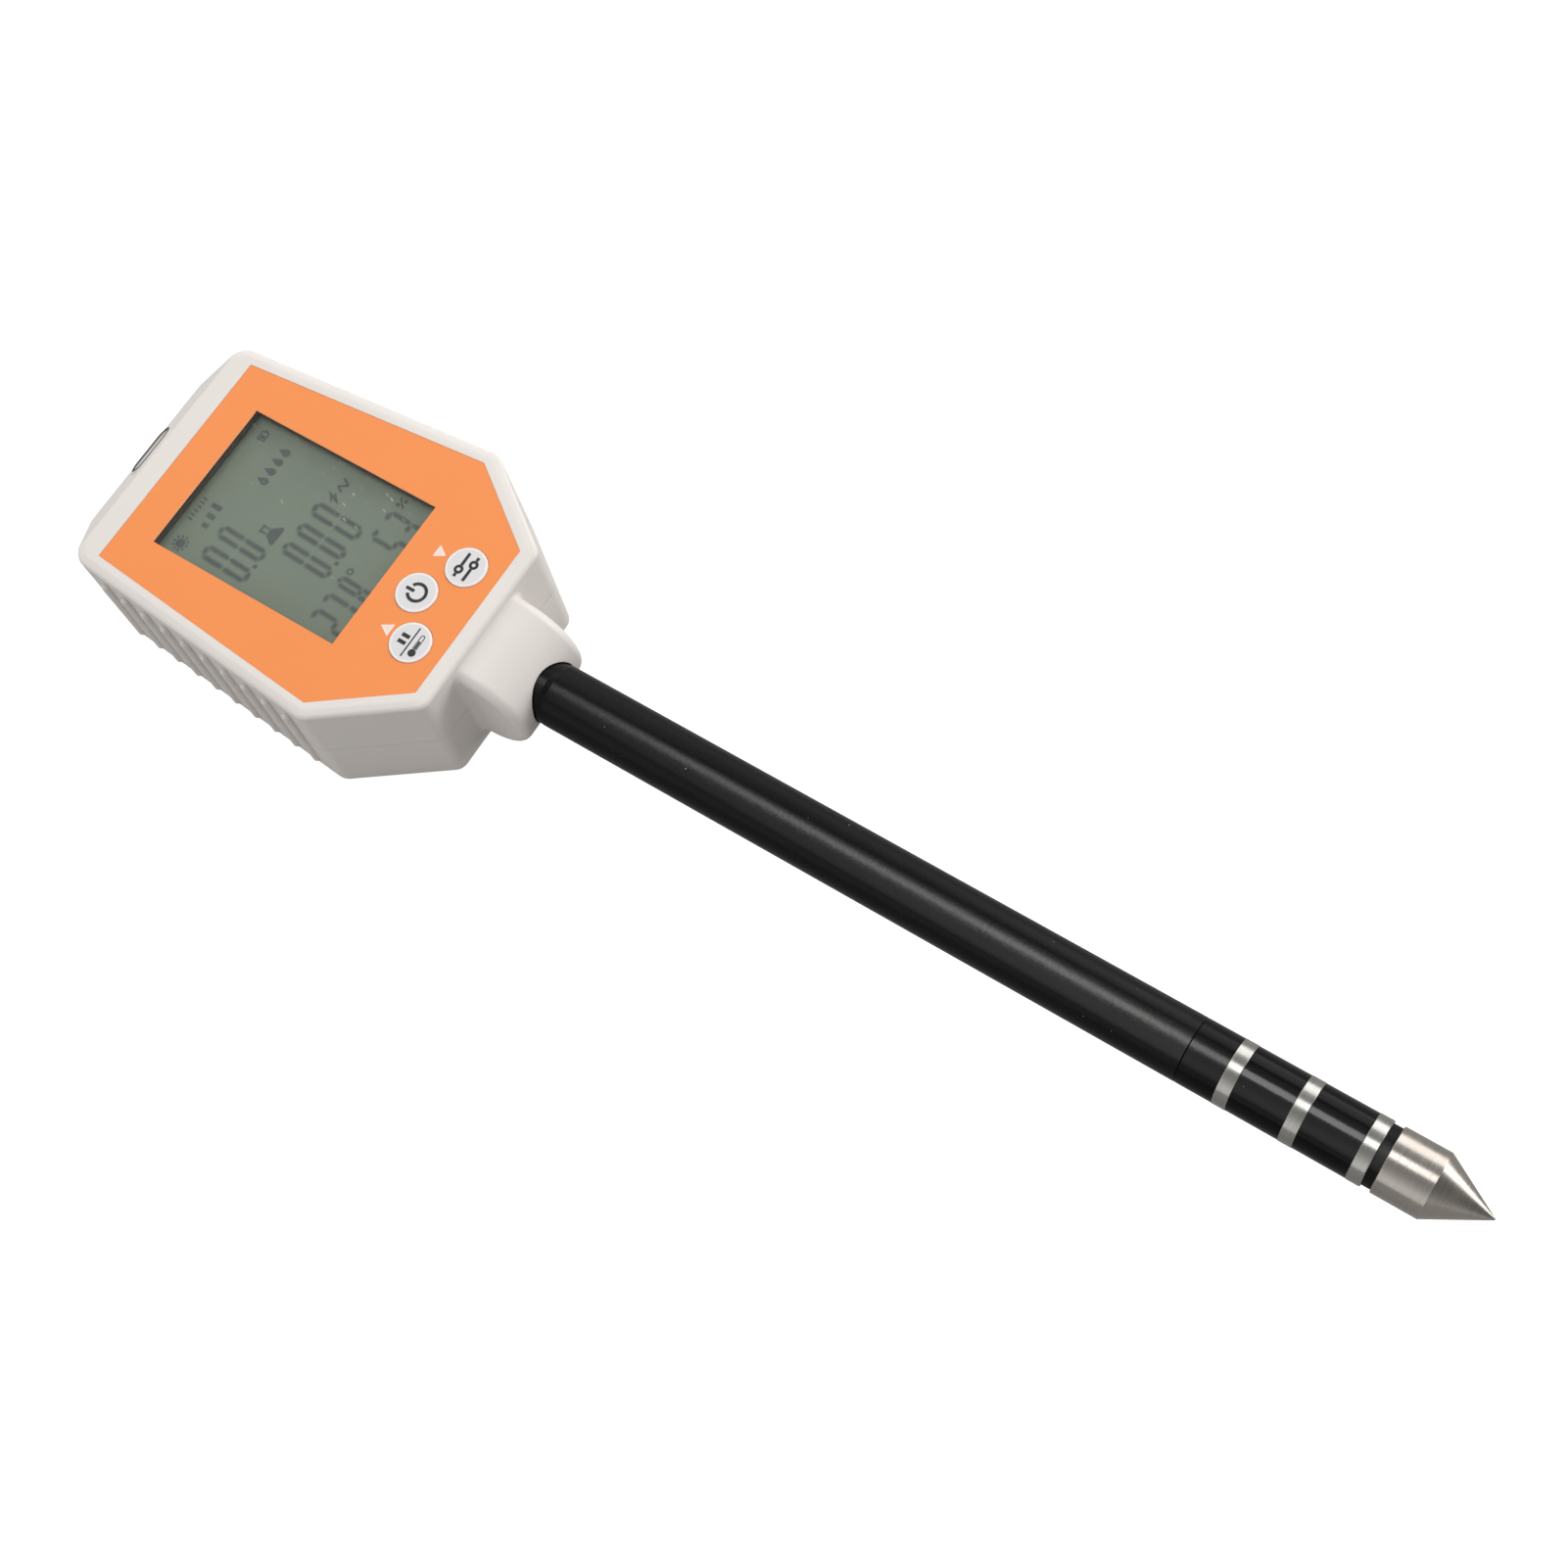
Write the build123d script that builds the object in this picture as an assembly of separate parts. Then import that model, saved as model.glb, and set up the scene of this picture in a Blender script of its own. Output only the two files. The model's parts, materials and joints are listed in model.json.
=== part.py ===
from build123d import *
import os
import math

# Hand-held soil tester lying on its back: display up (+Z), head towards +Y, probe along -Y.
# All shapes are drawn in a working frame whose origin is on the probe's axis, below the display,
# and moved to the part's own frame (bottom centre) when they are written.

# ---------------------------------------------------------------- driving dimensions, mm
SHIFT_Y = 98.25            # working frame to part frame
SHIFT_Z = 17.5

# head
FACE_Z = 17.5              # front face
BACK_Z = -17.5             # back face
WALL = 2.4
PART_GAP = 0.06            # parting line
BOTTOM_Y = -26.9
TOP_Y = 77.0
PLAN = [(-22.2, BOTTOM_Y), (22.2, BOTTOM_Y), (38.57, -3.55), (32.85, 68.0),
        (21.4, TOP_Y), (-21.4, TOP_Y), (-32.85, 68.0), (-38.57, -3.55)]
PLAN_R = [3.5, 3.5, 4.0, 5.0, 3.5, 3.5, 5.0, 4.0]
FACET_SUM = 86.9           # sloped top end lies in y + z = FACET_SUM
EDGE_IN, EDGE_DROP = 2.0, 0.45   # front edge: a shallow slope all round the face
FRONT_R = 1.1              # rounding between that slope and the walls
EDGE_R = 2.5               # rounding between that slope and the face
BACK_R = 1.0               # rounded back edge
FACET_R = 1.2              # rounded edges of the sloped end

# grip panels on the two long sides: drafted inwards below the front edge, with dome-ended bars on them
PANEL_Y0, PANEL_Y1 = -0.6, 66.4
PANEL_TOP = 16.0
PANEL_IN = 0.65            # depth under the front edge
PANEL_RUN = 2.0            # length of the slopes at the panel's two ends
RIB_Y = [62.7, 56.2, 49.7, 43.15, 36.65, 30.15, 23.6, 17.1, 10.55, 4.05]
RIB_R = 1.0
RIB_OUT = 0.88
RIB_TOP = 10.3
RIB_END = -14.6

# neck
NECK_HALF = 12.0
NECK_R = 14.6              # half height of the bull nose across the neck
NECK_Y = -28.5             # where the nose starts
NECK_DEEP = 13.75          # its length
SHOULDER_R = 11.0          # radius where it runs into the flat faces
NECK_EDGE = 2.4
NECK_ROOT = 1.5            # hollow rounding where the neck leaves the head

# face label, window and display
LABEL = [(-20.2, -23.0), (20.2, -23.0), (34.8, -2.15), (29.3, 63.8), (-29.3, 63.8), (-34.8, -2.15)]
LABEL_T = 0.35
LABEL_FLOOR = 17.1
LABEL_GAP = 0.03
WIN_X = 19.95              # label's cut-out, half width
WIN_Y0, WIN_Y1 = 1.0, 54.75
PANE_T = 0.8
LCD_Z = 14.7               # top of the display's glass
LCD_T = 2.8
LCD_X = 22.5
LCD_Y0, LCD_Y1 = -1.7, 57.4

# keys
KEY_R = 5.0
KEY_HOLE_R = 5.15
KEY_FLANGE_R = 5.7         # flange inside the cover that holds the key in
KEY_TOP = 17.65            # the keys stand just proud of the label
KEY_EDGE = 0.2
KEYS = {"power": (0.0, -8.3), "left": (-10.8, -14.6), "right": (10.8, -14.6)}
KEY_TRAVEL = 0.5

# board
BOARD_Z0, BOARD_Z1 = 8.5, 10.1
BOARD_HOLES = [(-27.4, 51.0), (27.4, 51.0), (-27.4, 4.0), (27.4, 4.0)]
COVER_HOLES = [(-25.5, 63.9), (25.5, 63.9), (-18.0, -20.8), (18.0, -20.8)]

# battery bay
CELL_R = 5.2
CELL_L = 44.5
CELL_X = [-11.0, 0.0, 11.0]
BAY_X = 16.9
BAY_Y0, BAY_Y1 = 6.0, 58.0
BAY_WALL = 1.6
BAY_TOP = -3.5
DOOR_X = 17.8
DOOR_Y0 = 3.0
DOOR_OUT = 0.1             # door lies this far inside the back face
TONGUE = 1.1
CELL_Z = BACK_Z + WALL + CELL_R + 0.2

# probe
TUBE_R = 7.5
TUBE_BORE = 6.0
TUBE_TOP = BOTTOM_Y + WALL
SEAT_R = 7.34              # the tube is turned down where the neck holds it
SEAT_Y0, SEAT_Y1 = -42.35, -43.95
SEAM_Y = -205.85
RINGS = [(-214.45, -217.7), (-229.5, -232.8), (-244.65, -247.95)]
RING_R = 7.55
TIP_Y0, TIP_Y1, TIP_Y2 = -250.1, -260.5, -273.5
TIP_R = 7.55
SPINDLE_R = 6.6            # carrier under the rings and sleeves
SPIGOT_R = 6.4             # carrier's end inside the tip
CORE_BORE = 3.6            # cable way through the carrier
CABLE_R = 1.5
SEAM_EDGE = 0.15           # broken edges at the seam and on the rings

os.makedirs("parts", exist_ok=True)


# ---------------------------------------------------------------- helpers
def block(x0, x1, y0, y1, z0, z1):
    return Pos((x0 + x1) / 2, (y0 + y1) / 2, (z0 + z1) / 2) * Box(x1 - x0, y1 - y0, z1 - z0)


def rod_y(r, y0, y1, x=0.0, z=0.0):
    lo, hi = min(y0, y1), max(y0, y1)
    return Pos(x, (lo + hi) / 2, z) * Rot(90, 0, 0) * Cylinder(r, hi - lo)


def rod_z(r, z0, z1, x=0.0, y=0.0):
    return Pos(x, y, (z0 + z1) / 2) * Cylinder(r, z1 - z0)


def poly_face(points):
    return Face(Wire.make_polygon([(x, y, 0) for x, y in points], close=True))


def rounded(points, radii):
    face = poly_face(points)
    for (x, y), r in zip(points, radii):
        v = min(face.vertices(), key=lambda q: (q.X - x) ** 2 + (q.Y - y) ** 2)
        face = face.fillet_2d(r, [v])
    return face


def prism(face, z0, z1):
    return extrude(Pos(0, 0, z0) * face, z1 - z0, dir=(0, 0, 1))


def inset(points, d):
    """Polygon with every side moved inwards by d, corners kept sharp."""
    n, out_ = len(points), []
    area = sum(points[i][0] * points[(i + 1) % n][1] - points[(i + 1) % n][0] * points[i][1] for i in range(n))
    s = 1.0 if area > 0 else -1.0
    lines = []
    for i in range(n):
        (x0, y0), (x1, y1) = points[i], points[(i + 1) % n]
        length = math.hypot(x1 - x0, y1 - y0)
        nx, ny = s * (y1 - y0) / length, -s * (x1 - x0) / length
        lines.append((nx, ny, nx * x0 + ny * y0 - d))
    for i in range(n):
        a, b = lines[i - 1], lines[i]
        det = a[0] * b[1] - a[1] * b[0]
        out_.append(((a[2] * b[1] - a[1] * b[2]) / det, (a[0] * b[2] - a[2] * b[0]) / det))
    return out_


def wedge_above(total):
    """Everything over the sloped plane y + z = total, near the head's top end."""
    pts = [(total - 40, 40), (total + 40, -40), (total + 60, -40), (total + 60, 60), (total - 40, 60)]
    wire = Wire.make_polygon([(-60, y, z) for y, z in pts], close=True)
    return extrude(Face(wire), 120, dir=(1, 0, 0))


def turned(profile):
    """Solid of revolution about the probe's axis, from (radius, y) points."""
    wire = Wire.make_polygon([(r, y, 0) for r, y in profile], close=True)
    return revolve(Face(wire), Axis((0, 0, 0), (0, 1, 0)), 360)


def tube_path(points, radius, r):
    path = FilletPolyline(*points, radius=radius)
    start = Plane(origin=path @ 0, z_dir=path % 0)
    return sweep(start * Circle(r), path=path)


def keep(name, shape):
    parts = shape if isinstance(shape, list) else [shape]
    solids = []
    for p in parts:
        solids += list(p.solids())
    moved = [s.moved(Location((0, SHIFT_Y, SHIFT_Z))) for s in solids]
    export_step(moved[0] if len(moved) == 1 else Compound(moved), f"parts/{name}.step")


def side_x(y):
    """Outer face of the long side at y."""
    (x0, y0), (x1, y1) = PLAN[2], PLAN[3]
    return x0 + (x1 - x0) * (y - y0) / (y1 - y0)


# ---------------------------------------------------------------- head, outside
plan = rounded(PLAN, PLAN_R)
outer = prism(plan, BACK_Z, FACE_Z)
face = outer.faces().sort_by(Axis.Z)[-1]
outer = chamfer(face.edges(), length=EDGE_IN, length2=EDGE_DROP, reference=face)
for level, r in ((FACE_Z - EDGE_DROP, FRONT_R), (FACE_Z, EDGE_R)):
    outer = fillet([e for e in outer.edges() if all(abs((e @ u).Z - level) < 0.01 for u in (0.0, 0.5, 1.0))], r)
outer = fillet([e for e in outer.edges() if e.center().Z < BACK_Z + 0.01], BACK_R)
outer = outer - wedge_above(FACET_SUM)
facet_edges = [e for e in outer.edges()
               if all(abs((e @ u).Y + (e @ u).Z - FACET_SUM) < 0.01 for u in (0.0, 0.5, 1.0))]
outer = fillet(facet_edges, FACET_R)

# grip panels: shallow wedges taken off the long sides under the front edge
def panel(s):
    def section(d, z):
        run = 1.0 + 1.5 / PANEL_IN
        pts = [(side_x(PANEL_Y0) + 1.5, PANEL_Y0 + PANEL_RUN - run * PANEL_RUN), (side_x(PANEL_Y0 + PANEL_RUN) - d, PANEL_Y0 + PANEL_RUN),
               (side_x(PANEL_Y1 - PANEL_RUN) - d, PANEL_Y1 - PANEL_RUN), (side_x(PANEL_Y1) + 1.5, PANEL_Y1 - PANEL_RUN + run * PANEL_RUN)]
        return Face(Wire.make_polygon([(s * x, y, z) for x, y in pts], close=True))
    return loft([section(0.0, BACK_Z + BACK_R), section(PANEL_IN, PANEL_TOP)], ruled=True)


for s in (-1, 1):
    outer = outer - panel(s)

# grip ribs: upright bars with domed ends
dome = RIB_R * math.sqrt(0.5)
bar_wire = Wire([
    Edge.make_three_point_arc((0, 0, RIB_END), (dome, 0, RIB_END + RIB_R - dome), (RIB_R, 0, RIB_END + RIB_R)),
    Edge.make_line((RIB_R, 0, RIB_END + RIB_R), (RIB_R, 0, RIB_TOP - RIB_R)),
    Edge.make_three_point_arc((RIB_R, 0, RIB_TOP - RIB_R), (dome, 0, RIB_TOP - RIB_R + dome), (0, 0, RIB_TOP)),
    Edge.make_line((0, 0, RIB_TOP), (0, 0, RIB_END)),
])
bar = revolve(Face(bar_wire), Axis.Z, 360)
ribs = [Pos(s * (side_x(y) + RIB_OUT - RIB_R), y, 0) * bar for y in RIB_Y for s in (-1, 1)]

# neck: a bar across the probe with a bull nose of three tangent arcs towards the tip
nose_h = NECK_R - SHOULDER_R
nose_d = (nose_h ** 2 - (NECK_DEEP - SHOULDER_R) ** 2) / (2 * (NECK_DEEP - SHOULDER_R))
nose_a = math.atan2(nose_h, nose_d)


def nose(cy, cz, r, t):
    return (0, cy - r * math.cos(t), cz + r * math.sin(t))


join_front, join_back = (nose(NECK_Y + nose_d, 0, nose_d + NECK_DEEP, t) for t in (nose_a, -nose_a))
half_a = (nose_a + math.pi / 2) / 2
neck_wire = Wire([
    Edge.make_line((0, BOTTOM_Y + 6, NECK_R), (0, NECK_Y, NECK_R)),
    Edge.make_three_point_arc((0, NECK_Y, NECK_R), nose(NECK_Y, nose_h, SHOULDER_R, half_a), join_front),
    Edge.make_three_point_arc(join_front, (0, NECK_Y - NECK_DEEP, 0), join_back),
    Edge.make_three_point_arc(join_back, nose(NECK_Y, -nose_h, SHOULDER_R, -half_a), (0, NECK_Y, -NECK_R)),
    Edge.make_line((0, NECK_Y, -NECK_R), (0, BOTTOM_Y + 6, -NECK_R)),
    Edge.make_line((0, BOTTOM_Y + 6, -NECK_R), (0, BOTTOM_Y + 6, NECK_R)),
])
neck = extrude(Pos(-NECK_HALF, 0, 0) * Face(neck_wire), 2 * NECK_HALF, dir=(1, 0, 0))
neck_edges = [e for e in neck.edges()
              if abs(abs(e.center().X) - NECK_HALF) < 0.01 and e.center().Y < BOTTOM_Y + 5.9]
neck = fillet(neck_edges, NECK_EDGE)

# ---------------------------------------------------------------- head, inside
inner_plan = rounded(inset(PLAN, WALL), [2.0] * len(PLAN))
cavity = prism(inner_plan, BACK_Z + WALL, LCD_Z) - wedge_above(FACET_SUM - WALL * math.sqrt(2))

bore = rod_y(SEAT_R + 0.03, -60, BOTTOM_Y + 8)
exit_relief = rod_y(SEAT_R + 0.25, -60, -38.15)    # slight relief where the tube leaves the neck

# ---------------------------------------------------------------- front cover
front = outer + neck
root_edges = [e for e in front.edges() if all(abs((e @ u).Y - BOTTOM_Y) < 0.02 and abs((e @ u).X) < NECK_HALF + 0.5
                                              and abs((e @ u).Z) < NECK_R + 0.1 for u in (0.0, 0.5, 1.0))]
front = fillet(root_edges, NECK_ROOT)
for rib in ribs:
    front = front + rib
shell = front - cavity - bore - exit_relief
front_half = shell - block(-80, 80, -80, 120, -40, 0)
rear_half = shell - block(-80, 80, -80, 120, -PART_GAP, 40)

front_cover = front_half
# label recess, window rebate and well
front_cover = front_cover - prism(poly_face(inset(LABEL, -LABEL_GAP)), LABEL_FLOOR, 20)
front_cover = front_cover - block(-WIN_X - 1.6, WIN_X + 1.6, WIN_Y0 - 1.6, WIN_Y1 + 1.6, LABEL_FLOOR - PANE_T, 20)
front_cover = front_cover - block(-WIN_X - 0.8, WIN_X + 0.8, WIN_Y0 - 0.8, WIN_Y1 + 0.8, LCD_Z - 1, 20)
front_cover = front_cover - block(-24.2, 24.2, LCD_Y0 - 1.1, LCD_Y1 + 1.6, LCD_Z - 1, LCD_Z + 0.8)
# key openings
for kx, ky in KEYS.values():
    front_cover = front_cover - rod_z(KEY_HOLE_R, LCD_Z - 1, 20, kx, ky)

# sloped end: seat for the oval light window
facet_mid_y = (FACET_SUM - FACE_Z + PLAN[4][1]) / 2
facet_mid = (0, facet_mid_y, FACET_SUM - facet_mid_y)
facet_plane = Plane(origin=facet_mid, x_dir=(1, 0, 0), z_dir=(0, 1, 1))
OVAL_W, OVAL_H = 13.8, 6.4
PAD_TOP, BEZEL_TOP, LENS_TOP = 0.3, 0.45, 0.18


def oval(w, h, d0, d1):
    """Oval slug standing on the sloped end from depth d0 to d1 along its outward normal."""
    return extrude(facet_plane.offset(d0) * SlotOverall(w, h), d1 - d0, dir=(0, math.sqrt(0.5), math.sqrt(0.5)))


# raised pad with a rounded edge round the oval
pad = oval(OVAL_W + 1.0, OVAL_H + 1.0, -0.6, PAD_TOP)
pad = fillet(pad.faces().sort_by(Axis((0, 0, 0), (0, 1, 1)))[-1].edges(), 0.25)
front_cover = front_cover + pad
front_cover = front_cover - oval(OVAL_W - 1.2, OVAL_H - 1.2, -6, 3) - oval(OVAL_W + 0.1, OVAL_H + 0.1, -1.0, 3)

# bosses for the board and for the rear cover's screws
for bx, by in BOARD_HOLES:
    front_cover = front_cover + rod_z(2.4, BOARD_Z1, LCD_Z + 0.4, bx, by) - rod_z(0.95, BOARD_Z1 - 1, LCD_Z - 0.2, bx, by)
for bx, by in COVER_HOLES:
    front_cover = front_cover + (rod_z(3.2, 0.0, FACE_Z - 2.6, bx, by) & (outer - wedge_above(FACET_SUM - 1.2)))
    front_cover = front_cover - rod_z(1.25, -1, 9.5, bx, by)
# cradle that backs the ferrule's flange, with a gap for the cable
cradle_front = block(-13.0, 13.0, -20.8, -19.0, 0.0, 12.2) + block(-4.2, 4.2, -20.8, -19.0, 12.0, LCD_Z + 0.4)
front_cover = front_cover + (cradle_front - rod_y(4.6, -30, -10))
# lap joint: a lip inside the wall, cut away at the neck
lip_out = prism(rounded(inset(PLAN, 1.4), [2.4] * 8), -1.1, 0.6)
lip_in = prism(rounded(inset(PLAN, 2.35), [2.0] * 8), -2, 2)
lip = lip_out - lip_in - block(-13.5, 13.5, -40, -18, -3, 3)
front_cover = front_cover + lip

# ---------------------------------------------------------------- rear cover
rear_cover = rear_half
rabbet = prism(rounded(inset(PLAN, 1.25), [2.5] * 8), -1.3, 1) - prism(rounded(inset(PLAN, 2.6), [2.0] * 8), -3, 3)
rear_cover = rear_cover - (rabbet - block(-13.4, 13.4, -40, -18, -3, 3))
# battery bay: a box open to the back
bay_out = block(-BAY_X - BAY_WALL, BAY_X + BAY_WALL, BAY_Y0 - BAY_WALL, BAY_Y1 + BAY_WALL, BACK_Z + WALL - 0.4, BAY_TOP + BAY_WALL)
bay_in = block(-BAY_X, BAY_X, BAY_Y0, BAY_Y1, BACK_Z - 1, BAY_TOP)
rear_cover = rear_cover + bay_out - bay_in
# cradle for the ferrule's flange
rear_cover = rear_cover + (block(-13.0, 13.0, -20.8, -19.0, BACK_Z + WALL - 0.4, -PART_GAP) - rod_y(4.6, -30, -10))
# screw towers with a counterbore from the back
for bx, by in COVER_HOLES:
    tower = rod_z(3.5, BACK_Z + 1.0, -PART_GAP, bx, by) & (outer - block(-80, 80, -80, 120, -PART_GAP, 40))
    rear_cover = rear_cover + tower
for bx, by in COVER_HOLES:
    rear_cover = rear_cover - rod_z(2.9, BACK_Z - 1, -11.0, bx, by) - rod_z(1.4, -12, 1, bx, by)
# door opening: through the back wall and out at the top end, with a groove along each side
door_top = BACK_Z + WALL
rear_cover = rear_cover - block(-DOOR_X - 0.15, DOOR_X + 0.15, DOOR_Y0 - 0.15, 90, BACK_Z - 1, door_top + 0.02)
rear_cover = rear_cover - block(-DOOR_X - TONGUE - 0.2, DOOR_X + TONGUE + 0.2, DOOR_Y0 + 2.8, 90, door_top - 1.3, door_top + 0.02)
# slots for the contacts' solder tabs in the bay's lower wall
for cx in (-11.0, 11.0):
    rear_cover = rear_cover - block(cx - 1.6, cx + 1.6, BAY_Y0 - BAY_WALL - 0.5, BAY_Y0 + 0.2, CELL_Z + 1.0, CELL_Z + 2.6)

# ---------------------------------------------------------------- battery door
end_slice = outer & block(-DOOR_X, DOOR_X, DOOR_Y0, 90, BACK_Z + DOOR_OUT, door_top - 0.1)
door = end_slice
door = door + block(-DOOR_X - TONGUE, DOOR_X + TONGUE, DOOR_Y0 + 3.0, 66.0, door_top - 1.2, door_top - 0.1)
# finger grip: shallow grooves across the door near its lower end
for i in range(6):
    gy = 9.0 + 2.2 * i
    half = 8.0 - 0.9 * i
    door = door - (Pos(0, gy, BACK_Z + DOOR_OUT) * Rot(0, 90, 0) * Cylinder(0.6, 2 * half))

# ---------------------------------------------------------------- label, window, display
label = prism(poly_face(LABEL), LABEL_FLOOR, LABEL_FLOOR + LABEL_T)
label = label - block(-WIN_X, WIN_X, WIN_Y0, WIN_Y1, 10, 20)
for kx, ky in KEYS.values():
    label = label - rod_z(KEY_HOLE_R, 10, 20, kx, ky)
pane = block(-WIN_X - 1.5, WIN_X + 1.5, WIN_Y0 - 1.5, WIN_Y1 + 1.5, LABEL_FLOOR - PANE_T, LABEL_FLOOR)

frame = block(-24.0, 24.0, LCD_Y0 - 0.9, LCD_Y1 + 1.4, BOARD_Z1, LCD_Z + 0.75)
frame = frame + block(-WIN_X - 0.7, WIN_X + 0.7, WIN_Y0 - 0.7, WIN_Y1 + 0.7, LCD_Z, LABEL_FLOOR - PANE_T - 0.05)
frame = frame - block(-LCD_X - 0.1, LCD_X + 0.1, LCD_Y0 - 0.1, LCD_Y1 + 0.1, BOARD_Z1 - 1, LCD_Z)
frame = frame - block(-WIN_X - 0.1, WIN_X + 0.1, WIN_Y0 - 0.1, WIN_Y1 + 0.1, 5, 20)
lcd = block(-LCD_X, LCD_X, LCD_Y0, LCD_Y1, LCD_Z - LCD_T, LCD_Z)
zebra = [block(-21, 21, LCD_Y0 + 0.2, LCD_Y0 + 2.4, BOARD_Z1, LCD_Z - LCD_T),
         block(-21, 21, LCD_Y1 - 2.4, LCD_Y1 - 0.2, BOARD_Z1, LCD_Z - LCD_T)]

# ---------------------------------------------------------------- board and what is on it
board_plan = [(30, 59.6), (30, -9.6), (24.6, -16.4), (14.2, -16.4), (14.2, -18.2),
              (-14.2, -18.2), (-14.2, -16.4), (-24.6, -16.4), (-30, -9.6), (-30, 59.6)]
board = prism(poly_face(board_plan), BOARD_Z0, BOARD_Z1)
for bx, by in BOARD_HOLES:
    board = board - rod_z(1.15, 0, 20, bx, by)
board_screws = [rod_z(1.8, BOARD_Z0 - 1.3, BOARD_Z0, bx, by) + rod_z(0.9, BOARD_Z0, LCD_Z - 0.6, bx, by)
                - block(bx - 1.2, bx + 1.2, by - 0.25, by + 0.25, BOARD_Z0 - 2, BOARD_Z0 - 0.7)
                - block(bx - 0.25, bx + 0.25, by - 1.2, by + 1.2, BOARD_Z0 - 2, BOARD_Z0 - 0.7)
                for bx, by in BOARD_HOLES]
chips = [block(-5, 5, 20, 30, BOARD_Z0 - 1.4, BOARD_Z0),
         block(9, 13, 22, 27, BOARD_Z0 - 1.5, BOARD_Z0),
         block(-14, -10, 22, 27, BOARD_Z0 - 1.5, BOARD_Z0)]
SW_TOP = BOARD_Z1 + 2.9
FLANGE_Z0, FLANGE_Z1 = LCD_Z - 1.0, LCD_Z - 0.15
switches, plungers, keys = [], {}, {}
for key, (kx, ky) in KEYS.items():
    body = block(kx - 3.1, kx + 3.1, ky - 3.1, ky + 3.1, BOARD_Z1, SW_TOP) - rod_z(1.9, BOARD_Z1 + 0.9, 20, kx, ky)
    switches.append(body)
    plungers[key] = rod_z(1.75, BOARD_Z1 + 1.6, FLANGE_Z0, kx, ky)
    cap = rod_z(KEY_R, FLANGE_Z1 - 0.05, KEY_TOP, kx, ky)
    cap = fillet([e for e in cap.edges() if e.center().Z > KEY_TOP - 0.01], KEY_EDGE)
    # flange that holds the key in, with a flat beside the display's frame
    cap = cap + (rod_z(KEY_FLANGE_R, FLANGE_Z0, FLANGE_Z1, kx, ky) & block(kx - 9, kx + 9, ky - 9, min(ky + 9, -3.35), 10, 17))
    keys[key] = cap

# ---------------------------------------------------------------- light sensor in the sloped end
bezel = oval(OVAL_W, OVAL_H, -0.95, BEZEL_TOP) - oval(OVAL_W - 0.8, OVAL_H - 0.8, -3, 3)
lens_top = oval(OVAL_W - 0.9, OVAL_H - 0.9, -0.9, LENS_TOP)
lens_top = fillet(lens_top.faces().sort_by(Axis((0, 0, 0), (0, 1, 1)))[-1].edges(), 0.2)
lens = oval(OVAL_W - 1.4, OVAL_H - 1.4, -3.4, 0.0) + lens_top
light_board = extrude(facet_plane.offset(-6.4) * Rectangle(12, 7), 1.0, dir=(0, math.sqrt(0.5), math.sqrt(0.5)))
light_diode = extrude(facet_plane.offset(-5.4) * Rectangle(4.0, 3.0), 1.9, dir=(0, math.sqrt(0.5), math.sqrt(0.5)))
# its two wires, from the board's back to the main board's top edge
back_pt = facet_plane.offset(-6.4).origin
light_leads = [tube_path([(x, back_pt.Y - 0.4, back_pt.Z - 0.4), (x, back_pt.Y - 4.4, back_pt.Z - 4.4),
                          (x, 57.8, 4.4), (x, 57.8, BOARD_Z0)], 1.6, 0.5) for x in (-2.0, 2.0)]

# ---------------------------------------------------------------- batteries
cells, contacts = [], []
for i, cx in enumerate(CELL_X):
    up = 1 if i % 2 == 0 else -1
    mid = (BAY_Y0 + BAY_Y1) / 2
    y_minus, y_plus = mid - up * CELL_L / 2, mid + up * CELL_L / 2
    can = rod_y(CELL_R, y_minus, y_plus - up * 1.2, cx, CELL_Z)
    can = fillet([e for e in can.edges() if e.geom_type == GeomType.CIRCLE], 0.5)
    cells.append(can + rod_y(1.9, y_plus - up * 1.3, y_plus, cx, CELL_Z))


def contact(x0, x1, y_wall, s, bumps):
    """Flat plate on the bay's end wall with a sprung tongue for each cell."""
    plate = block(x0, x1, min(y_wall, y_wall + s * 0.3), max(y_wall, y_wall + s * 0.3), CELL_Z - 4.6, CELL_Z + 4.6)
    for bx in bumps:
        pts = [(y_wall + s * 0.2, CELL_Z + 4.0), (y_wall + s * 3.4, CELL_Z + 0.8), (y_wall + s * 3.4, CELL_Z - 0.8),
               (y_wall + s * 0.9, CELL_Z - 3.6), (y_wall + s * 1.25, CELL_Z - 3.85), (y_wall + s * 3.72, CELL_Z - 0.95),
               (y_wall + s * 3.72, CELL_Z + 0.95), (y_wall + s * 0.55, CELL_Z + 4.12)]
        wire = Wire.make_polygon([(bx - 2.5, y, z) for y, z in pts], close=True)
        plate = plate + extrude(Face(wire), 5.0, dir=(1, 0, 0))
    return plate


low, high = BAY_Y0 + 0.02, BAY_Y1 - 0.02
contacts = [contact(-15.6, -6.4, low, 1, [-11.0]),
            contact(-4.6, 15.6, low, 1, [0.0, 11.0]),
            contact(-15.6, 4.6, high, -1, [-11.0, 0.0]),
            contact(6.4, 15.6, high, -1, [11.0])]
# solder tabs through the bay's lower wall, on the pack's two end terminals
TAB_Z = CELL_Z + 2.0
contacts[0] = contacts[0] + block(-12.4, -9.6, BAY_Y0 - BAY_WALL - 1.6, BAY_Y0 + 0.3, TAB_Z - 0.4, TAB_Z)
contacts[1] = contacts[1] + block(9.6, 12.4, BAY_Y0 - BAY_WALL - 1.6, BAY_Y0 + 0.3, TAB_Z - 0.4, TAB_Z)
battery_leads = [tube_path([(cx, 3.6, TAB_Z), (cx, 3.6, -2.0), (cx, -1.0, 2.0), (cx, -1.0, BOARD_Z0)], 3.0, 0.65)
                 for cx in (-11.0, 11.0)]

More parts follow.
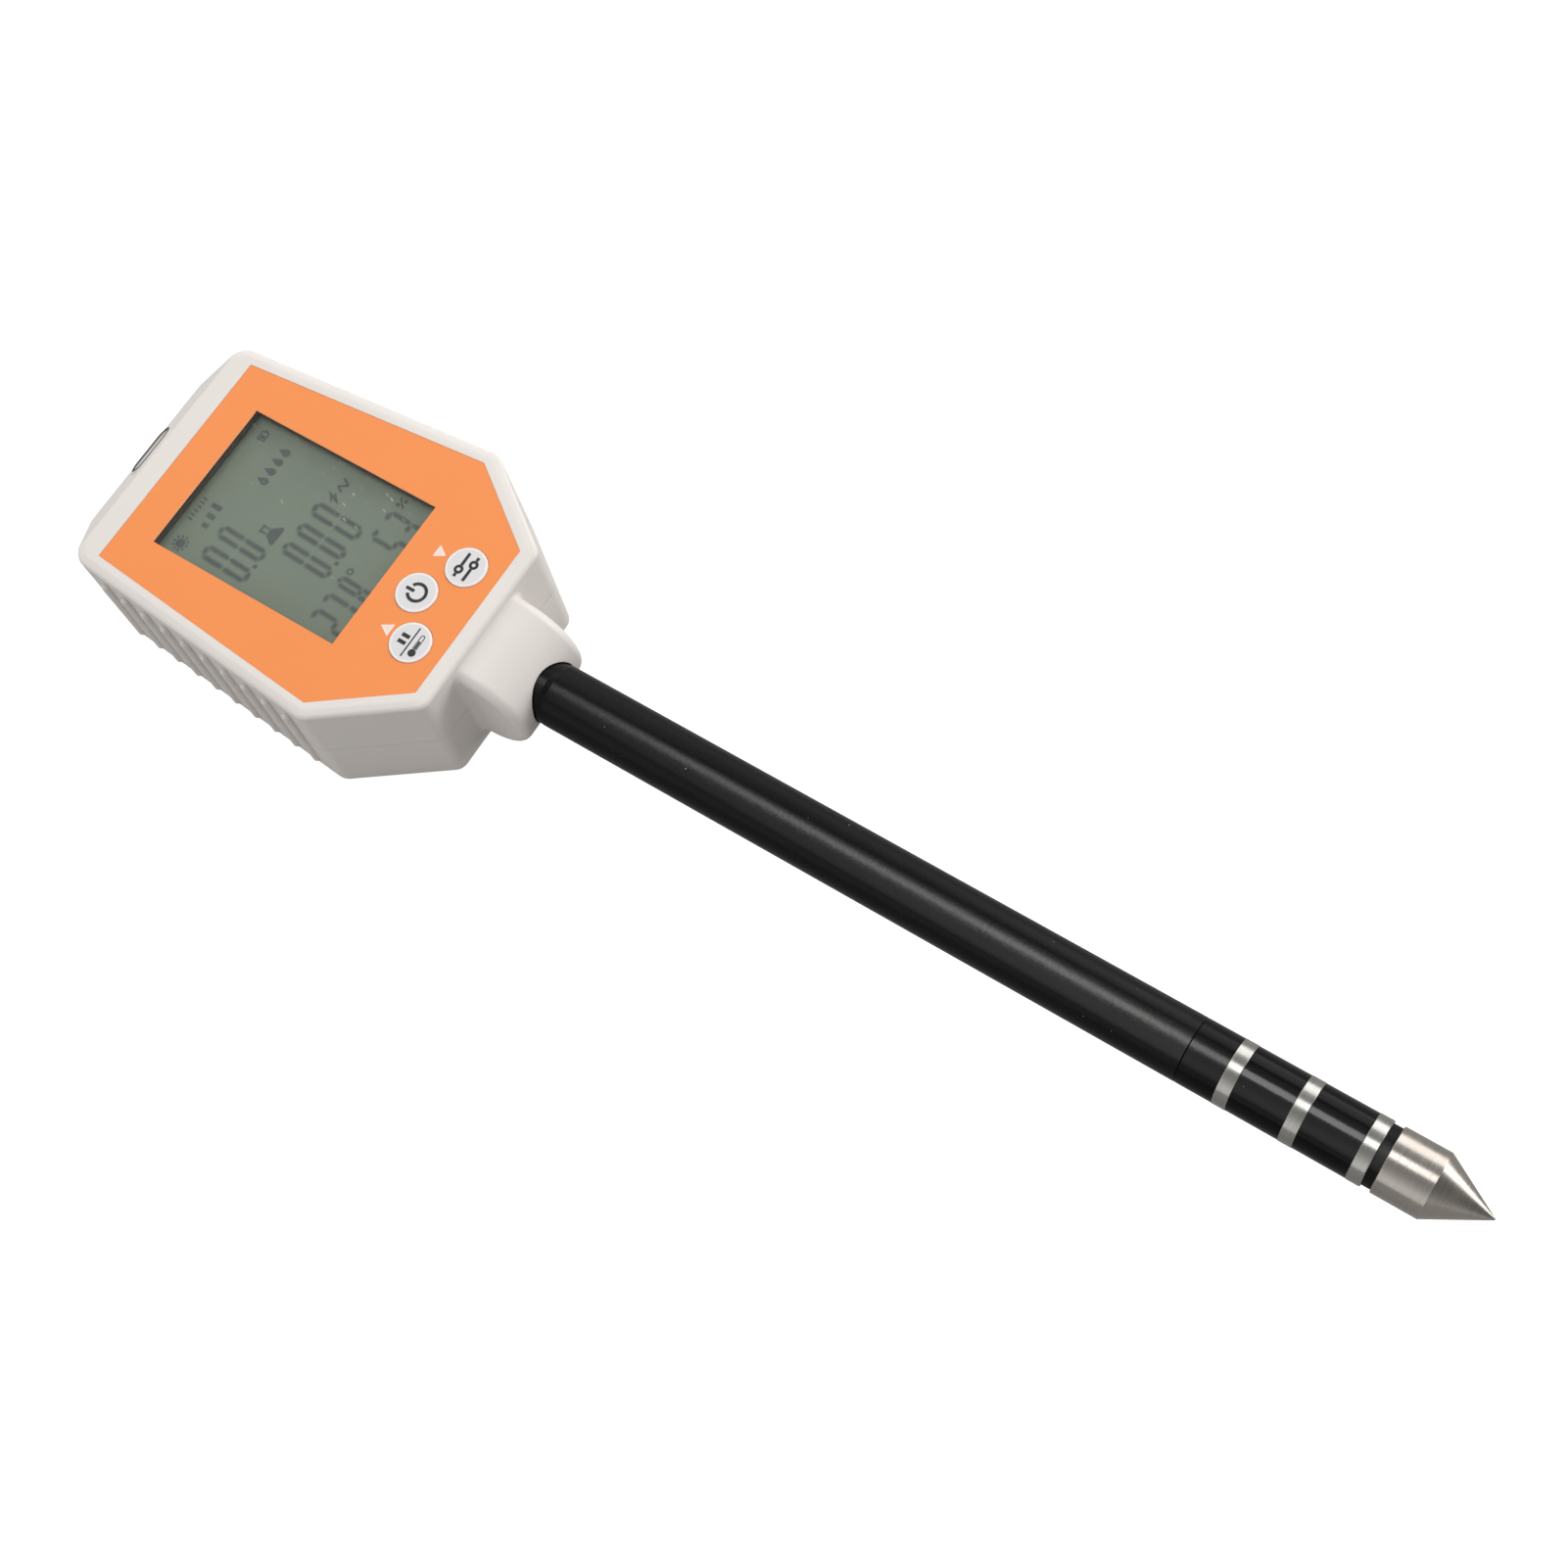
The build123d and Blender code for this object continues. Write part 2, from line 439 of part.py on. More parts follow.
# ---------------------------------------------------------------- screws that close the head
cover_screws = []
for bx, by in COVER_HOLES:
    s = rod_z(2.4, -12.9, -11.0, bx, by) + rod_z(1.2, -11.2, 8.6, bx, by)
    s = s - block(bx - 1.6, bx + 1.6, by - 0.3, by + 0.3, -14, -11.9) - block(bx - 0.3, bx + 0.3, by - 1.6, by + 1.6, -14, -11.9)
    cover_screws.append(s)

# ---------------------------------------------------------------- probe
tube = turned([(TUBE_BORE, SEAM_Y), (TUBE_R - SEAM_EDGE, SEAM_Y), (TUBE_R, SEAM_Y + SEAM_EDGE), (TUBE_R, SEAT_Y1),
               (SEAT_R, SEAT_Y0), (SEAT_R, TUBE_TOP), (TUBE_BORE, TUBE_TOP)])
ferrule = turned([(2.6, -40.0), (TUBE_BORE - 0.04, -40.0), (TUBE_BORE - 0.04, TUBE_TOP), (9.4, TUBE_TOP),
                  (9.4, -20.9), (2.6, -20.9)])
sensor_body = turned([(CORE_BORE, -188.0), (TUBE_BORE - 0.04, -188.0), (TUBE_BORE - 0.04, SEAM_Y), (TUBE_R - SEAM_EDGE, SEAM_Y),
                      (TUBE_R, SEAM_Y - SEAM_EDGE), (TUBE_R, RINGS[0][0]), (SPINDLE_R, RINGS[0][0]), (SPINDLE_R, TIP_Y0), (SPIGOT_R, TIP_Y0),
                      (SPIGOT_R, TIP_Y1 + 0.2), (CORE_BORE, TIP_Y1 + 0.2)])
ring_nodes = [turned([(SPINDLE_R + 0.02, a), (RING_R - SEAM_EDGE, a), (RING_R, a - SEAM_EDGE), (RING_R, b + SEAM_EDGE),
                      (RING_R - SEAM_EDGE, b), (SPINDLE_R + 0.02, b)]) for a, b in RINGS]
sleeves = [turned([(SPINDLE_R + 0.02, RINGS[i][1]), (TUBE_R - 0.03, RINGS[i][1]), (TUBE_R - 0.03, RINGS[i + 1][0]),
                   (SPINDLE_R + 0.02, RINGS[i + 1][0])]) for i in (0, 1)]
spacer = turned([(SPINDLE_R + 0.02, RINGS[2][1]), (7.0, RINGS[2][1]), (7.0, TIP_Y0), (SPINDLE_R + 0.02, TIP_Y0)])
tip = turned([(SPIGOT_R + 0.04, TIP_Y0), (TIP_R - SEAM_EDGE, TIP_Y0), (TIP_R, TIP_Y0 - SEAM_EDGE), (TIP_R, TIP_Y1),
              (0.25, TIP_Y2 + 0.15), (0.0, TIP_Y2), (0.0, TIP_Y2 + 4.4),
              (SPIGOT_R + 0.04, TIP_Y1 - 0.3)])
thermistor = rod_y(1.3, TIP_Y1 - 3.5, TIP_Y1 + 2.0)
thermistor = fillet([e for e in thermistor.edges() if e.geom_type == GeomType.CIRCLE], 0.9)
cable = tube_path([(0, TIP_Y1 + 2.0, 0), (0, -20.0, 0), (0, -11.6, 4.9), (0, -7.4, 4.9)], 9.0, CABLE_R)
plug = block(-5.0, 5.0, -7.4, -1.6, 2.6, 7.2)
header = block(-5.6, 5.6, -4.6, 0.4, 2.0, BOARD_Z0) - block(-5.05, 5.05, -8, -1.55, 2.55, 7.25)

# ---------------------------------------------------------------- write every piece
keep("front_cover", front_cover)
keep("rear_cover", rear_cover)
keep("face_label", label)
keep("display_window", pane)
keep("lcd_frame", frame)
keep("lcd_panel", lcd)
keep("zebra_strips", zebra)
keep("main_board", board)
keep("board_screws", board_screws)
keep("board_chips", chips)
keep("switch_bodies", switches)
for key in KEYS:
    keep(f"{key}_plunger", plungers[key])
    keep(f"{key}_button", keys[key])
keep("light_bezel", bezel)
keep("light_lens", lens)
keep("light_board", light_board)
keep("light_diode", light_diode)
keep("light_leads", light_leads)
keep("battery_door", door)
keep("battery_cells", cells)
keep("battery_contacts", contacts)
keep("battery_leads", battery_leads)
keep("cover_screws", cover_screws)
keep("probe_tube", tube)
keep("tube_ferrule", ferrule)
keep("sensor_body", sensor_body)
for i, ring in enumerate(ring_nodes):
    keep(f"electrode_ring_{i + 1}", ring)
for i, sleeve in enumerate(sleeves):
    keep(f"insulator_sleeve_{i + 1}", sleeve)
keep("tip_spacer", spacer)
keep("tip_electrode", tip)
keep("thermistor", thermistor)
keep("probe_cable", cable)
keep("cable_plug", plug)
keep("board_header", header)
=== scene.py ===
import json
import math
import random

import bpy
from mathutils import Matrix, Vector


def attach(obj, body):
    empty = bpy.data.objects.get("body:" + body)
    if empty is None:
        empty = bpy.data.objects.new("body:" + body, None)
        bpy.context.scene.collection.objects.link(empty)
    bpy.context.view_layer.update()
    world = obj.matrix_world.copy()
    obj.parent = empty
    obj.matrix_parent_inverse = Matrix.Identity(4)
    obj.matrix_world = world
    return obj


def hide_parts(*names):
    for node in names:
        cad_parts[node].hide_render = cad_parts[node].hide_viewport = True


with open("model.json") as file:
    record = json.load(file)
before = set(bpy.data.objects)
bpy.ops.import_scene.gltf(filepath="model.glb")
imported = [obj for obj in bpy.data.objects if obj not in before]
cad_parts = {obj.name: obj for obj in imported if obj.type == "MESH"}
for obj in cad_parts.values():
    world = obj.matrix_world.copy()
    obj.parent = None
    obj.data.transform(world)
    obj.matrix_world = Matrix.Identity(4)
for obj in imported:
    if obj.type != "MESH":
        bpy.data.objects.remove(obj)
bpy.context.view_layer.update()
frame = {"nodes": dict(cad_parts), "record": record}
NODES = frame["nodes"]
scene = bpy.context.scene
random.seed(11)

# Drawing frame: millimetres, origin on the probe's axis below the display, as the face is drawn.
MM = 0.001
SHIFT = (0.0, 98.25, 17.5)


def at(x, y, z):
    return Vector(((x + SHIFT[0]) * MM, (y + SHIFT[1]) * MM, (z + SHIFT[2]) * MM))


def lin(r, g, b):
    """Screen colour, 0 to 255, as a linear colour."""
    out = []
    for v in (r, g, b):
        v /= 255.0
        out.append(v / 12.92 if v <= 0.04045 else ((v + 0.055) / 1.055) ** 2.4)
    return (*out, 1.0)


def shade(c, k):
    return (c[0] * k, c[1] * k, c[2] * k, 1.0)


# ---------------------------------------------------------------- node helpers
def new_mat(name):
    m = bpy.data.materials.new(name)
    m.use_nodes = True
    m.node_tree.nodes.clear()
    return m, m.node_tree


def add(t, kind, inputs=None, **props):
    n = t.nodes.new(kind)
    for k, v in props.items():
        setattr(n, k, v)
    for k, v in (inputs or {}).items():
        if isinstance(v, bpy.types.NodeSocket):
            t.links.new(v, n.inputs[k])
        else:
            n.inputs[k].default_value = v
    return n


def coords(t):
    return add(t, "ShaderNodeTexCoord").outputs["Object"]


def scaled(t, vec, sx, sy, sz):
    return add(t, "ShaderNodeMapping", {"Vector": vec, "Scale": (sx, sy, sz)}).outputs[0]


def noise(t, vec, scale, detail=2.0, rough=0.5, warp=0.0):
    n = add(t, "ShaderNodeTexNoise", {"Vector": vec, "Scale": scale, "Detail": detail, "Roughness": rough, "Distortion": warp})
    return n.outputs["Fac"]


def calc(t, op, a, b=0.0, c=0.0, clamp=False):
    n = add(t, "ShaderNodeMath", {0: a, 1: b, 2: c}, operation=op, use_clamp=clamp)
    return n.outputs[0]


def span(t, value, a, b, c=0.0, d=1.0):
    n = add(t, "ShaderNodeMapRange", {"Value": value, "From Min": a, "From Max": b, "To Min": c, "To Max": d}, clamp=True)
    return n.outputs["Result"]


def soft(t, value, a, b, c=0.0, d=1.0):
    n = add(t, "ShaderNodeMapRange", {"Value": value, "From Min": a, "From Max": b, "To Min": c, "To Max": d},
            interpolation_type="SMOOTHSTEP", clamp=True)
    return n.outputs["Result"]


def blend(t, fac, a, b, mode="MIX"):
    n = add(t, "ShaderNodeMix", {0: fac, 6: a, 7: b}, data_type="RGBA", blend_type=mode)
    return n.outputs[2]


def split(t, vec):
    n = add(t, "ShaderNodeSeparateXYZ", {"Vector": vec})
    return n.outputs[0], n.outputs[1], n.outputs[2]


def bump(t, height, strength, depth, normal=None):
    ins = {"Height": height, "Strength": strength, "Distance": depth}
    if normal is not None:
        ins["Normal"] = normal
    return add(t, "ShaderNodeBump", ins).outputs[0]


def rounded_normal(t, radius):
    return add(t, "ShaderNodeBevel", {"Radius": radius}, samples=4).outputs[0]


def specks(t, vec, scale, size, share, flat=False):
    """Sparse round dots: 1 inside a dot, 0 elsewhere."""
    v = add(t, "ShaderNodeTexVoronoi", {"Vector": vec, "Scale": scale, "Randomness": 1.0}, feature="F1",
            voronoi_dimensions="2D" if flat else "3D")
    r, g, b = [add(t, "ShaderNodeSeparateColor", {"Color": v.outputs["Color"]}).outputs[i] for i in range(3)]
    reach = calc(t, "MULTIPLY", span(t, g, 0.0, 1.0, 0.45, 1.0), size)
    inside = soft(t, calc(t, "DIVIDE", v.outputs["Distance"], reach), 1.0, 0.6)
    return calc(t, "MULTIPLY", inside, calc(t, "LESS_THAN", r, share))


def hollow(t, distance, samples=6):
    """1 deep in a corner or groove, 0 on open faces."""
    ao = add(t, "ShaderNodeAmbientOcclusion", {"Distance": distance}, samples=samples, only_local=True)
    return calc(t, "SUBTRACT", 1.0, ao.outputs["AO"])


def edge_mask(t, radius):
    """1 on sharp convex edges, from the rounded and the plain normal."""
    geo = add(t, "ShaderNodeNewGeometry")
    dot = add(t, "ShaderNodeVectorMath", {0: rounded_normal(t, radius), 1: geo.outputs["Normal"]}, operation="DOT_PRODUCT")
    return span(t, dot.outputs["Value"], 0.995, 0.85)


def finish_surface(m, t, **inputs):
    p = add(t, "ShaderNodeBsdfPrincipled", {k.replace("_", " "): v for k, v in inputs.items()})
    o = add(t, "ShaderNodeOutputMaterial")
    t.links.new(p.outputs[0], o.inputs[0])
    return m


# ---------------------------------------------------------------- materials
def moulded(name, colour, rough=0.42, grain=0.16, painted_corner_shade=0.06, spec=0.45, tone=0.03, edge=0.00025):
    """Moulded plastic: fine spark-eroded grain, faint flow marks, painted shade in the corners, slightly polished
    edges.
    """
    m, t = new_mat(name)
    v = coords(t)
    broad = noise(t, v, 38, 3)
    flow = noise(t, scaled(t, v, 60, 18, 60), 1.0, 4, 0.6, 0.4)
    col = blend(t, span(t, broad, 0.35, 0.65), shade(colour, 1.0 - tone), shade(colour, 1.0))
    col = blend(t, span(t, flow, 0.58, 0.75, 0.0, 0.25), col, shade(colour, 1.0 - 2 * tone))
    # painted shade: the colour is darkened towards a grey-brown in corners and creases, driven by ambient occlusion
    if painted_corner_shade > 0:
        painted_shade_colour = (colour[0] * 0.60, colour[1] * 0.56, colour[2] * 0.50, 1.0)
        col = blend(t, calc(t, "MULTIPLY", span(t, hollow(t, 0.0022), 0.25, 0.95), painted_corner_shade), col, painted_shade_colour)
    spots = specks(t, v, 260, 0.045, 0.05)
    col = blend(t, calc(t, "MULTIPLY", spots, 0.35), col, shade(colour, 0.45))
    fine = noise(t, v, 5200, 2, 0.6)
    mid = noise(t, v, 900, 2, 0.5)
    r = calc(t, "ADD", span(t, mid, 0.3, 0.7, rough - 0.04, rough + 0.05), calc(t, "MULTIPLY", edge_mask(t, edge), -0.08))
    height = calc(t, "ADD", calc(t, "MULTIPLY", fine, 0.7), calc(t, "MULTIPLY", mid, 0.3))
    nrm = bump(t, height, grain, 0.00004, rounded_normal(t, edge))
    return finish_surface(m, t, Base_Color=col, Roughness=r, Normal=nrm, Specular_IOR_Level=spec)


def printed_film(name, colour):
    """Velvet-textured overlay film: even ink with a fine stipple and a painted highlight on the cut edge."""
    m, t = new_mat(name)
    v = coords(t)
    broad = noise(t, v, 30, 2)
    stip = noise(t, v, 3600, 3, 0.65)
    col = blend(t, span(t, broad, 0.3, 0.7), shade(colour, 0.975), shade(colour, 1.0))
    col = blend(t, span(t, stip, 0.35, 0.7), col, shade(colour, 0.955))
    geo = add(t, "ShaderNodeNewGeometry")
    nx, ny, nz = split(t, geo.outputs["Normal"])
    # painted highlight: faces turned sideways, such as the film's cut edge, are given a pale, lighter colour
    painted_edge_light = soft(t, calc(t, "ABSOLUTE", nz), 0.6, 0.2)
    col = blend(t, calc(t, "MULTIPLY", painted_edge_light, 0.75), col, lin(255, 206, 168))
    fleck = specks(t, v, 420, 0.05, 0.035)
    col = blend(t, calc(t, "MULTIPLY", fleck, 0.45), col, lin(255, 215, 180))
    r = span(t, stip, 0.3, 0.7, 0.5, 0.62)
    nrm = bump(t, stip, 0.16, 0.00003)
    return finish_surface(m, t, Base_Color=col, Roughness=r, Normal=nrm, Specular_IOR_Level=0.3)


def ink(name, colour, rough=0.4):
    """Screen-printed ink: slightly uneven coverage."""
    m, t = new_mat(name)
    v = coords(t)
    pin = noise(t, v, 4200, 3, 0.6)
    broad = noise(t, v, 500, 2)
    col = blend(t, span(t, pin, 0.3, 0.75), shade(colour, 1.0), shade(colour, 0.9))
    col = blend(t, span(t, broad, 0.5, 0.8, 0.0, 0.5), col, shade(colour, 1.06))
    r = span(t, pin, 0.3, 0.7, rough, rough + 0.12)
    return finish_surface(m, t, Base_Color=col, Roughness=r, Normal=bump(t, pin, 0.12, 0.00002))


def clear_plate(name, dusty):
    """Clear plate: the light goes straight through, the surface shines, and a little dust lies on it."""
    m, t = new_mat(name)
    v = coords(t)
    fres = add(t, "ShaderNodeFresnel", {"IOR": 1.49}).outputs[0]
    smear = noise(t, v, 45, 3, 0.55)
    entering = calc(t, "SUBTRACT", 1.0, add(t, "ShaderNodeNewGeometry").outputs["Backfacing"])
    shine = calc(t, "MULTIPLY", calc(t, "MULTIPLY", fres, entering), span(t, smear, 0.3, 0.7, 0.85, 1.0))
    gloss = add(t, "ShaderNodeBsdfGlossy", {"Color": (1, 1, 1, 1), "Roughness": span(t, smear, 0.3, 0.7, 0.03, 0.08)},
                distribution="GGX")
    through = add(t, "ShaderNodeBsdfTransparent", {"Color": (0.965, 0.972, 0.962, 1)})
    mix = add(t, "ShaderNodeMixShader", {0: shine, 1: through.outputs[0], 2: gloss.outputs[0]})
    out = mix.outputs[0]
    if dusty:
        geo = add(t, "ShaderNodeNewGeometry")
        nx, ny, nz = split(t, geo.outputs["Normal"])
        x, y, z = split(t, v)
        # more dust towards the right and the upper half
        lean = span(t, calc(t, "ADD", calc(t, "MULTIPLY", x, 22.0), noise(t, v, 70, 2)), 0.35, 0.85, 0.0, 1.0)
        dots = specks(t, v, 700, 0.10, 0.18, True)
        big = specks(t, v, 300, 0.075, 0.2, True)
        mask = calc(t, "MULTIPLY", calc(t, "MAXIMUM", calc(t, "MULTIPLY", dots, 0.7), calc(t, "MULTIPLY", big, 0.95)), lean, clamp=True)
        mask = calc(t, "MULTIPLY", mask, calc(t, "GREATER_THAN", nz, 0.5))
        tint = blend(t, span(t, noise(t, v, 900, 0), 0.4, 0.6), lin(214, 210, 168), lin(222, 226, 222))
        dust = add(t, "ShaderNodeBsdfDiffuse", {"Color": tint})
        out = add(t, "ShaderNodeMixShader", {0: mask, 1: out, 2: dust.outputs[0]}).outputs[0]
    o = add(t, "ShaderNodeOutputMaterial")
    t.links.new(out, o.inputs[0])
    return m


def reflector(name, colour):
    """Grey-green reflective foil behind the display's cells."""
    m, t = new_mat(name)
    v = coords(t)
    x, y, z = split(t, v)
    broad = noise(t, v, 28, 2)
    grain = noise(t, v, 2600, 3, 0.6)
    col = blend(t, span(t, broad, 0.3, 0.7), shade(colour, 0.95), shade(colour, 1.03))
    col = blend(t, span(t, grain, 0.35, 0.7), col, shade(colour, 0.93))
    nrm = bump(t, grain, 0.1, 0.00002)
    return finish_surface(m, t, Base_Color=col, Roughness=span(t, grain, 0.3, 0.7, 0.5, 0.62), Normal=nrm, Specular_IOR_Level=0.25)


def lcd_ink(name, colour, strength):
    """Switched liquid-crystal film, soft at its edges."""
    m, t = new_mat(name)
    v = coords(t)
    a = add(t, "ShaderNodeAttribute", attribute_name="ink", attribute_type="GEOMETRY").outputs["Fac"]
    wave = noise(t, v, 300, 2)
    alpha = calc(t, "MULTIPLY", soft(t, a, 0.0, 1.0), span(t, wave, 0.3, 0.7, strength * 0.88, strength))
    col = blend(t, wave, shade(colour, 0.9), shade(colour, 1.1))
    return finish_surface(m, t, Base_Color=col, Roughness=0.6, Alpha=alpha, Specular_IOR_Level=0.0)


def satin_black(name, colour, rough, grain, dust, lines=0.0, spec=0.5, grain_scale=3000):
    """Dark tube or sleeve: fine grain that breaks up the shine, faint drawn lines, a few dust flecks."""
    m, t = new_mat(name)
    v = coords(t)
    broad = noise(t, v, 45, 3)
    fine = noise(t, v, grain_scale, 2, 0.6)
    drawn = noise(t, scaled(t, v, 2600, 22, 2600), 1.0, 2, 0.5)
    col = blend(t, span(t, broad, 0.3, 0.7), shade(colour, 0.88), shade(colour, 1.1))
    col = blend(t, span(t, fine, 0.45, 0.75, 0.0, 0.6), col, shade(colour, 1.5))
    if dust > 0:
        d1 = specks(t, v, 300, 0.045, 0.5 * dust)
        d2 = specks(t, v, 800, 0.06, 0.12 * dust)
        col = blend(t, calc(t, "MAXIMUM", d1, calc(t, "MULTIPLY", d2, 0.6)), col, lin(190, 188, 184))
    r = calc(t, "ADD", span(t, broad, 0.3, 0.7, rough - 0.02, rough + 0.03), span(t, fine, 0.3, 0.7, -0.03, 0.05))
    height = calc(t, "ADD", calc(t, "MULTIPLY", fine, 1.0), calc(t, "MULTIPLY", drawn, lines))
    turned_away = add(t, "ShaderNodeLayerWeight", {"Blend": 0.5}).outputs["Facing"]
    shine = span(t, turned_away, 0.02, 0.13, spec * 2.0, spec * 0.35)
    return finish_surface(m, t, Base_Color=col, Roughness=r, Normal=bump(t, height, grain, 0.00003), Specular_IOR_Level=shine)


def turned_steel(name, colour, rough, lines, tint, pitch=9000, smudge=0.0):
    """Stainless steel off the lathe: fine rings round the axis, uneven polish, a warm tint in places."""
    m, t = new_mat(name)
    v = coords(t)
    ring = noise(t, scaled(t, v, 25, pitch, 25), 1.0, 3, 0.6)
    ring2 = noise(t, scaled(t, v, 90, pitch * 0.28, 90), 1.0, 2, 0.5)
    cloud = noise(t, v, 260, 3, 0.6)
    col = blend(t, span(t, ring, 0.3, 0.7), shade(colour, 0.86), shade(colour, 1.06))
    col = blend(t, span(t, cloud, 0.45, 0.75, 0.0, tint), col, (colour[0] * 0.98, colour[1] * 0.86, colour[2] * 0.72, 1.0))
    if smudge > 0:
        x, y, z = split(t, v)
        heat = noise(t, scaled(t, v, 120, 60, 120), 1.0, 3, 0.6, 0.6)
        col = blend(t, span(t, heat, 0.56, 0.72, 0.0, smudge), col, (colour[0] * 0.62, colour[1] * 0.58, colour[2] * 0.55, 1.0))
    # painted highlight: sharp edges are made lighter in colour
    col = blend(t, calc(t, "MULTIPLY", edge_mask(t, 0.00012), 0.5), col, shade(colour, 1.35))
    r = calc(t, "ADD", span(t, ring2, 0.3, 0.7, rough - 0.05, rough + 0.06), span(t, cloud, 0.4, 0.7, -0.02, 0.04))
    height = calc(t, "ADD", calc(t, "MULTIPLY", ring, 0.7), calc(t, "MULTIPLY", ring2, 0.5))
    nrm = bump(t, height, lines, 0.00002, rounded_normal(t, 0.0001))
    tan = add(t, "ShaderNodeTangent", direction_type="RADIAL", axis="Y").outputs[0]
    return finish_surface(m, t, Base_Color=col, Metallic=1.0, Roughness=r, Normal=nrm, Anisotropic=0.5, Anisotropic_Rotation=0.25, Tangent=tan)


def plated(name, colour, rough=0.28):
    """Plated small metal parts with faint tool marks."""
    m, t = new_mat(name)
    v = coords(t)
    c = noise(t, v, 700, 3, 0.6)
    s = noise(t, scaled(t, v, 4200, 300, 4200), 1.0, 2)
    col = blend(t, span(t, c, 0.35, 0.7), shade(colour, 0.85), shade(colour, 1.08))
    r = span(t, c, 0.3, 0.7, rough - 0.06, rough + 0.1)
    return finish_surface(m, t, Base_Color=col, Metallic=1.0, Roughness=r, Normal=bump(t, s, 0.15, 0.00002, rounded_normal(t, 0.0001)))


def circuit(name):
    """Green board with darker traces under the lacquer and tinned pads."""
    m, t = new_mat(name)
    v = coords(t)
    cells = add(t, "ShaderNodeTexVoronoi", {"Vector": v, "Scale": 330.0, "Randomness": 0.55}, feature="F1", distance="MANHATTAN")
    trace = soft(t, calc(t, "FRACT", calc(t, "MULTIPLY", cells.outputs["Distance"], 3.0)), 0.45, 0.55)
    pads = specks(t, v, 420, 0.2, 0.16)
    col = blend(t, trace, lin(16, 92, 48), lin(10, 66, 34))
    col = blend(t, pads, col, lin(206, 202, 190))
    return finish_surface(m, t, Base_Color=col, Roughness=span(t, noise(t, v, 900), 0.3, 0.7, 0.25, 0.4), Metallic=calc(t, "MULTIPLY", pads, 0.9),
                          Normal=bump(t, trace, 0.2, 0.00003))


def cell_wrap(name):
    """Small round cells: dark wrap, copper band towards the plus end, bare ends."""
    m, t = new_mat(name)
    v = coords(t)
    x, y, z = split(t, v)
    way = calc(t, "SUBTRACT", calc(t, "MULTIPLY", calc(t, "GREATER_THAN", calc(t, "ABSOLUTE", x), 0.0055), 2.0), 1.0)
    along = calc(t, "MULTIPLY", calc(t, "SUBTRACT", y, 0.13025), way)
    band = calc(t, "GREATER_THAN", along, 0.0095)
    line = calc(t, "LESS_THAN", calc(t, "ABSOLUTE", calc(t, "SUBTRACT", along, 0.0085)), 0.0004)
    bare = calc(t, "MAXIMUM", calc(t, "GREATER_THAN", along, 0.0206), calc(t, "LESS_THAN", along, -0.0217))
    scuff = noise(t, scaled(t, v, 900, 120, 900), 1.0, 3, 0.6)
    dark = blend(t, span(t, scuff, 0.4, 0.75), lin(34, 38, 44), lin(50, 54, 60))
    copper = blend(t, span(t, scuff, 0.35, 0.7), lin(176, 118, 66), lin(198, 142, 84))
    col = blend(t, band, dark, copper)
    col = blend(t, line, col, lin(220, 216, 206))
    col = blend(t, bare, col, lin(196, 194, 188))
    metal = calc(t, "MAXIMUM", calc(t, "MULTIPLY", band, 0.6), bare)
    return finish_surface(m, t, Base_Color=col, Roughness=span(t, scuff, 0.3, 0.7, 0.24, 0.38), Metallic=metal,
                          Normal=bump(t, scuff, 0.08, 0.00003))


WHITE = shade(lin(232, 227, 223), 0.905)
mats = {
    "housing": moulded("housing_white", WHITE),
    "label": printed_film("label_orange", shade(lin(251, 151, 84), 0.905)),
    "window": clear_plate("window_clear", True),
    "display": reflector("display_foil", lin(138, 147, 137)),
    "display_frame": moulded("frame_dark", lin(78, 70, 65), 0.55, 0.2, 0.0, 0.3, 0.1),
    "elastomer": moulded("strip_rose", lin(178, 122, 126), 0.6, 0.2, 0.0),
    "keys": moulded("key_grey", shade(lin(224, 224, 227), 0.90), 0.46, 0.14, 0.0, 0.35, 0.015, 0.00008),
    "plungers": moulded("plunger_black", lin(44, 44, 46), 0.4, 0.12, 0.0, 0.45, 0.1),
    "switches": moulded("switch_black", lin(38, 38, 40), 0.5, 0.15, 0.1, 0.4, 0.1),
    "circuit_board": circuit("board_green"),
    "chips": moulded("chip_black", lin(30, 31, 33), 0.5, 0.25, 0.0, 0.35, 0.1),
    "screws": plated("screw_zinc", lin(196, 196, 192), 0.3),
    "bezel": moulded("bezel_dark", lin(74, 72, 70), 0.35, 0.1, 0.1, 0.5, 0.06),
    "light_lens": moulded("lens_milky", shade(lin(226, 224, 220), 0.88), 0.16, 0.04, 0.0, 0.5, 0.02, 0.0001),
    "diode": moulded("diode_dark", lin(30, 30, 36), 0.15, 0.05, 0.0, 0.5, 0.1),
    "wires": moulded("wire_red", lin(150, 32, 28), 0.42, 0.1, 0.0, 0.45, 0.08),
    "cells": cell_wrap("cell_wrap"),
    "contacts": plated("contact_nickel", lin(214, 210, 200), 0.2),
    "tube": satin_black("tube_black", lin(6, 6, 7), 0.29, 1.0, 1.0, 0.2, 0.36, 1400),
    "ferrule": moulded("ferrule_grey", lin(120, 120, 120), 0.45, 0.15, 0.2),
    "sensor_plastic": satin_black("sleeve_black", lin(5, 5, 6), 0.13, 0.12, 0.5, 0.1, 0.31, 1800),
    "electrode": turned_steel("steel_turned", lin(168, 168, 165), 0.25, 0.14, 0.12, 16000),
    "seal": satin_black("seal_black", lin(14, 14, 15), 0.45, 0.15, 0.2, 0.0, 0.25),
    "cable": satin_black("cable_grey", lin(60, 60, 62), 0.5, 0.2, 0.0, 0.3, 0.4),
    "bead": satin_black("bead_black", lin(40, 40, 42), 0.25, 0.08, 0.0, 0.0, 0.5),
    "connector": moulded("connector_cream", lin(226, 220, 204), 0.45, 0.15, 0.15),
}
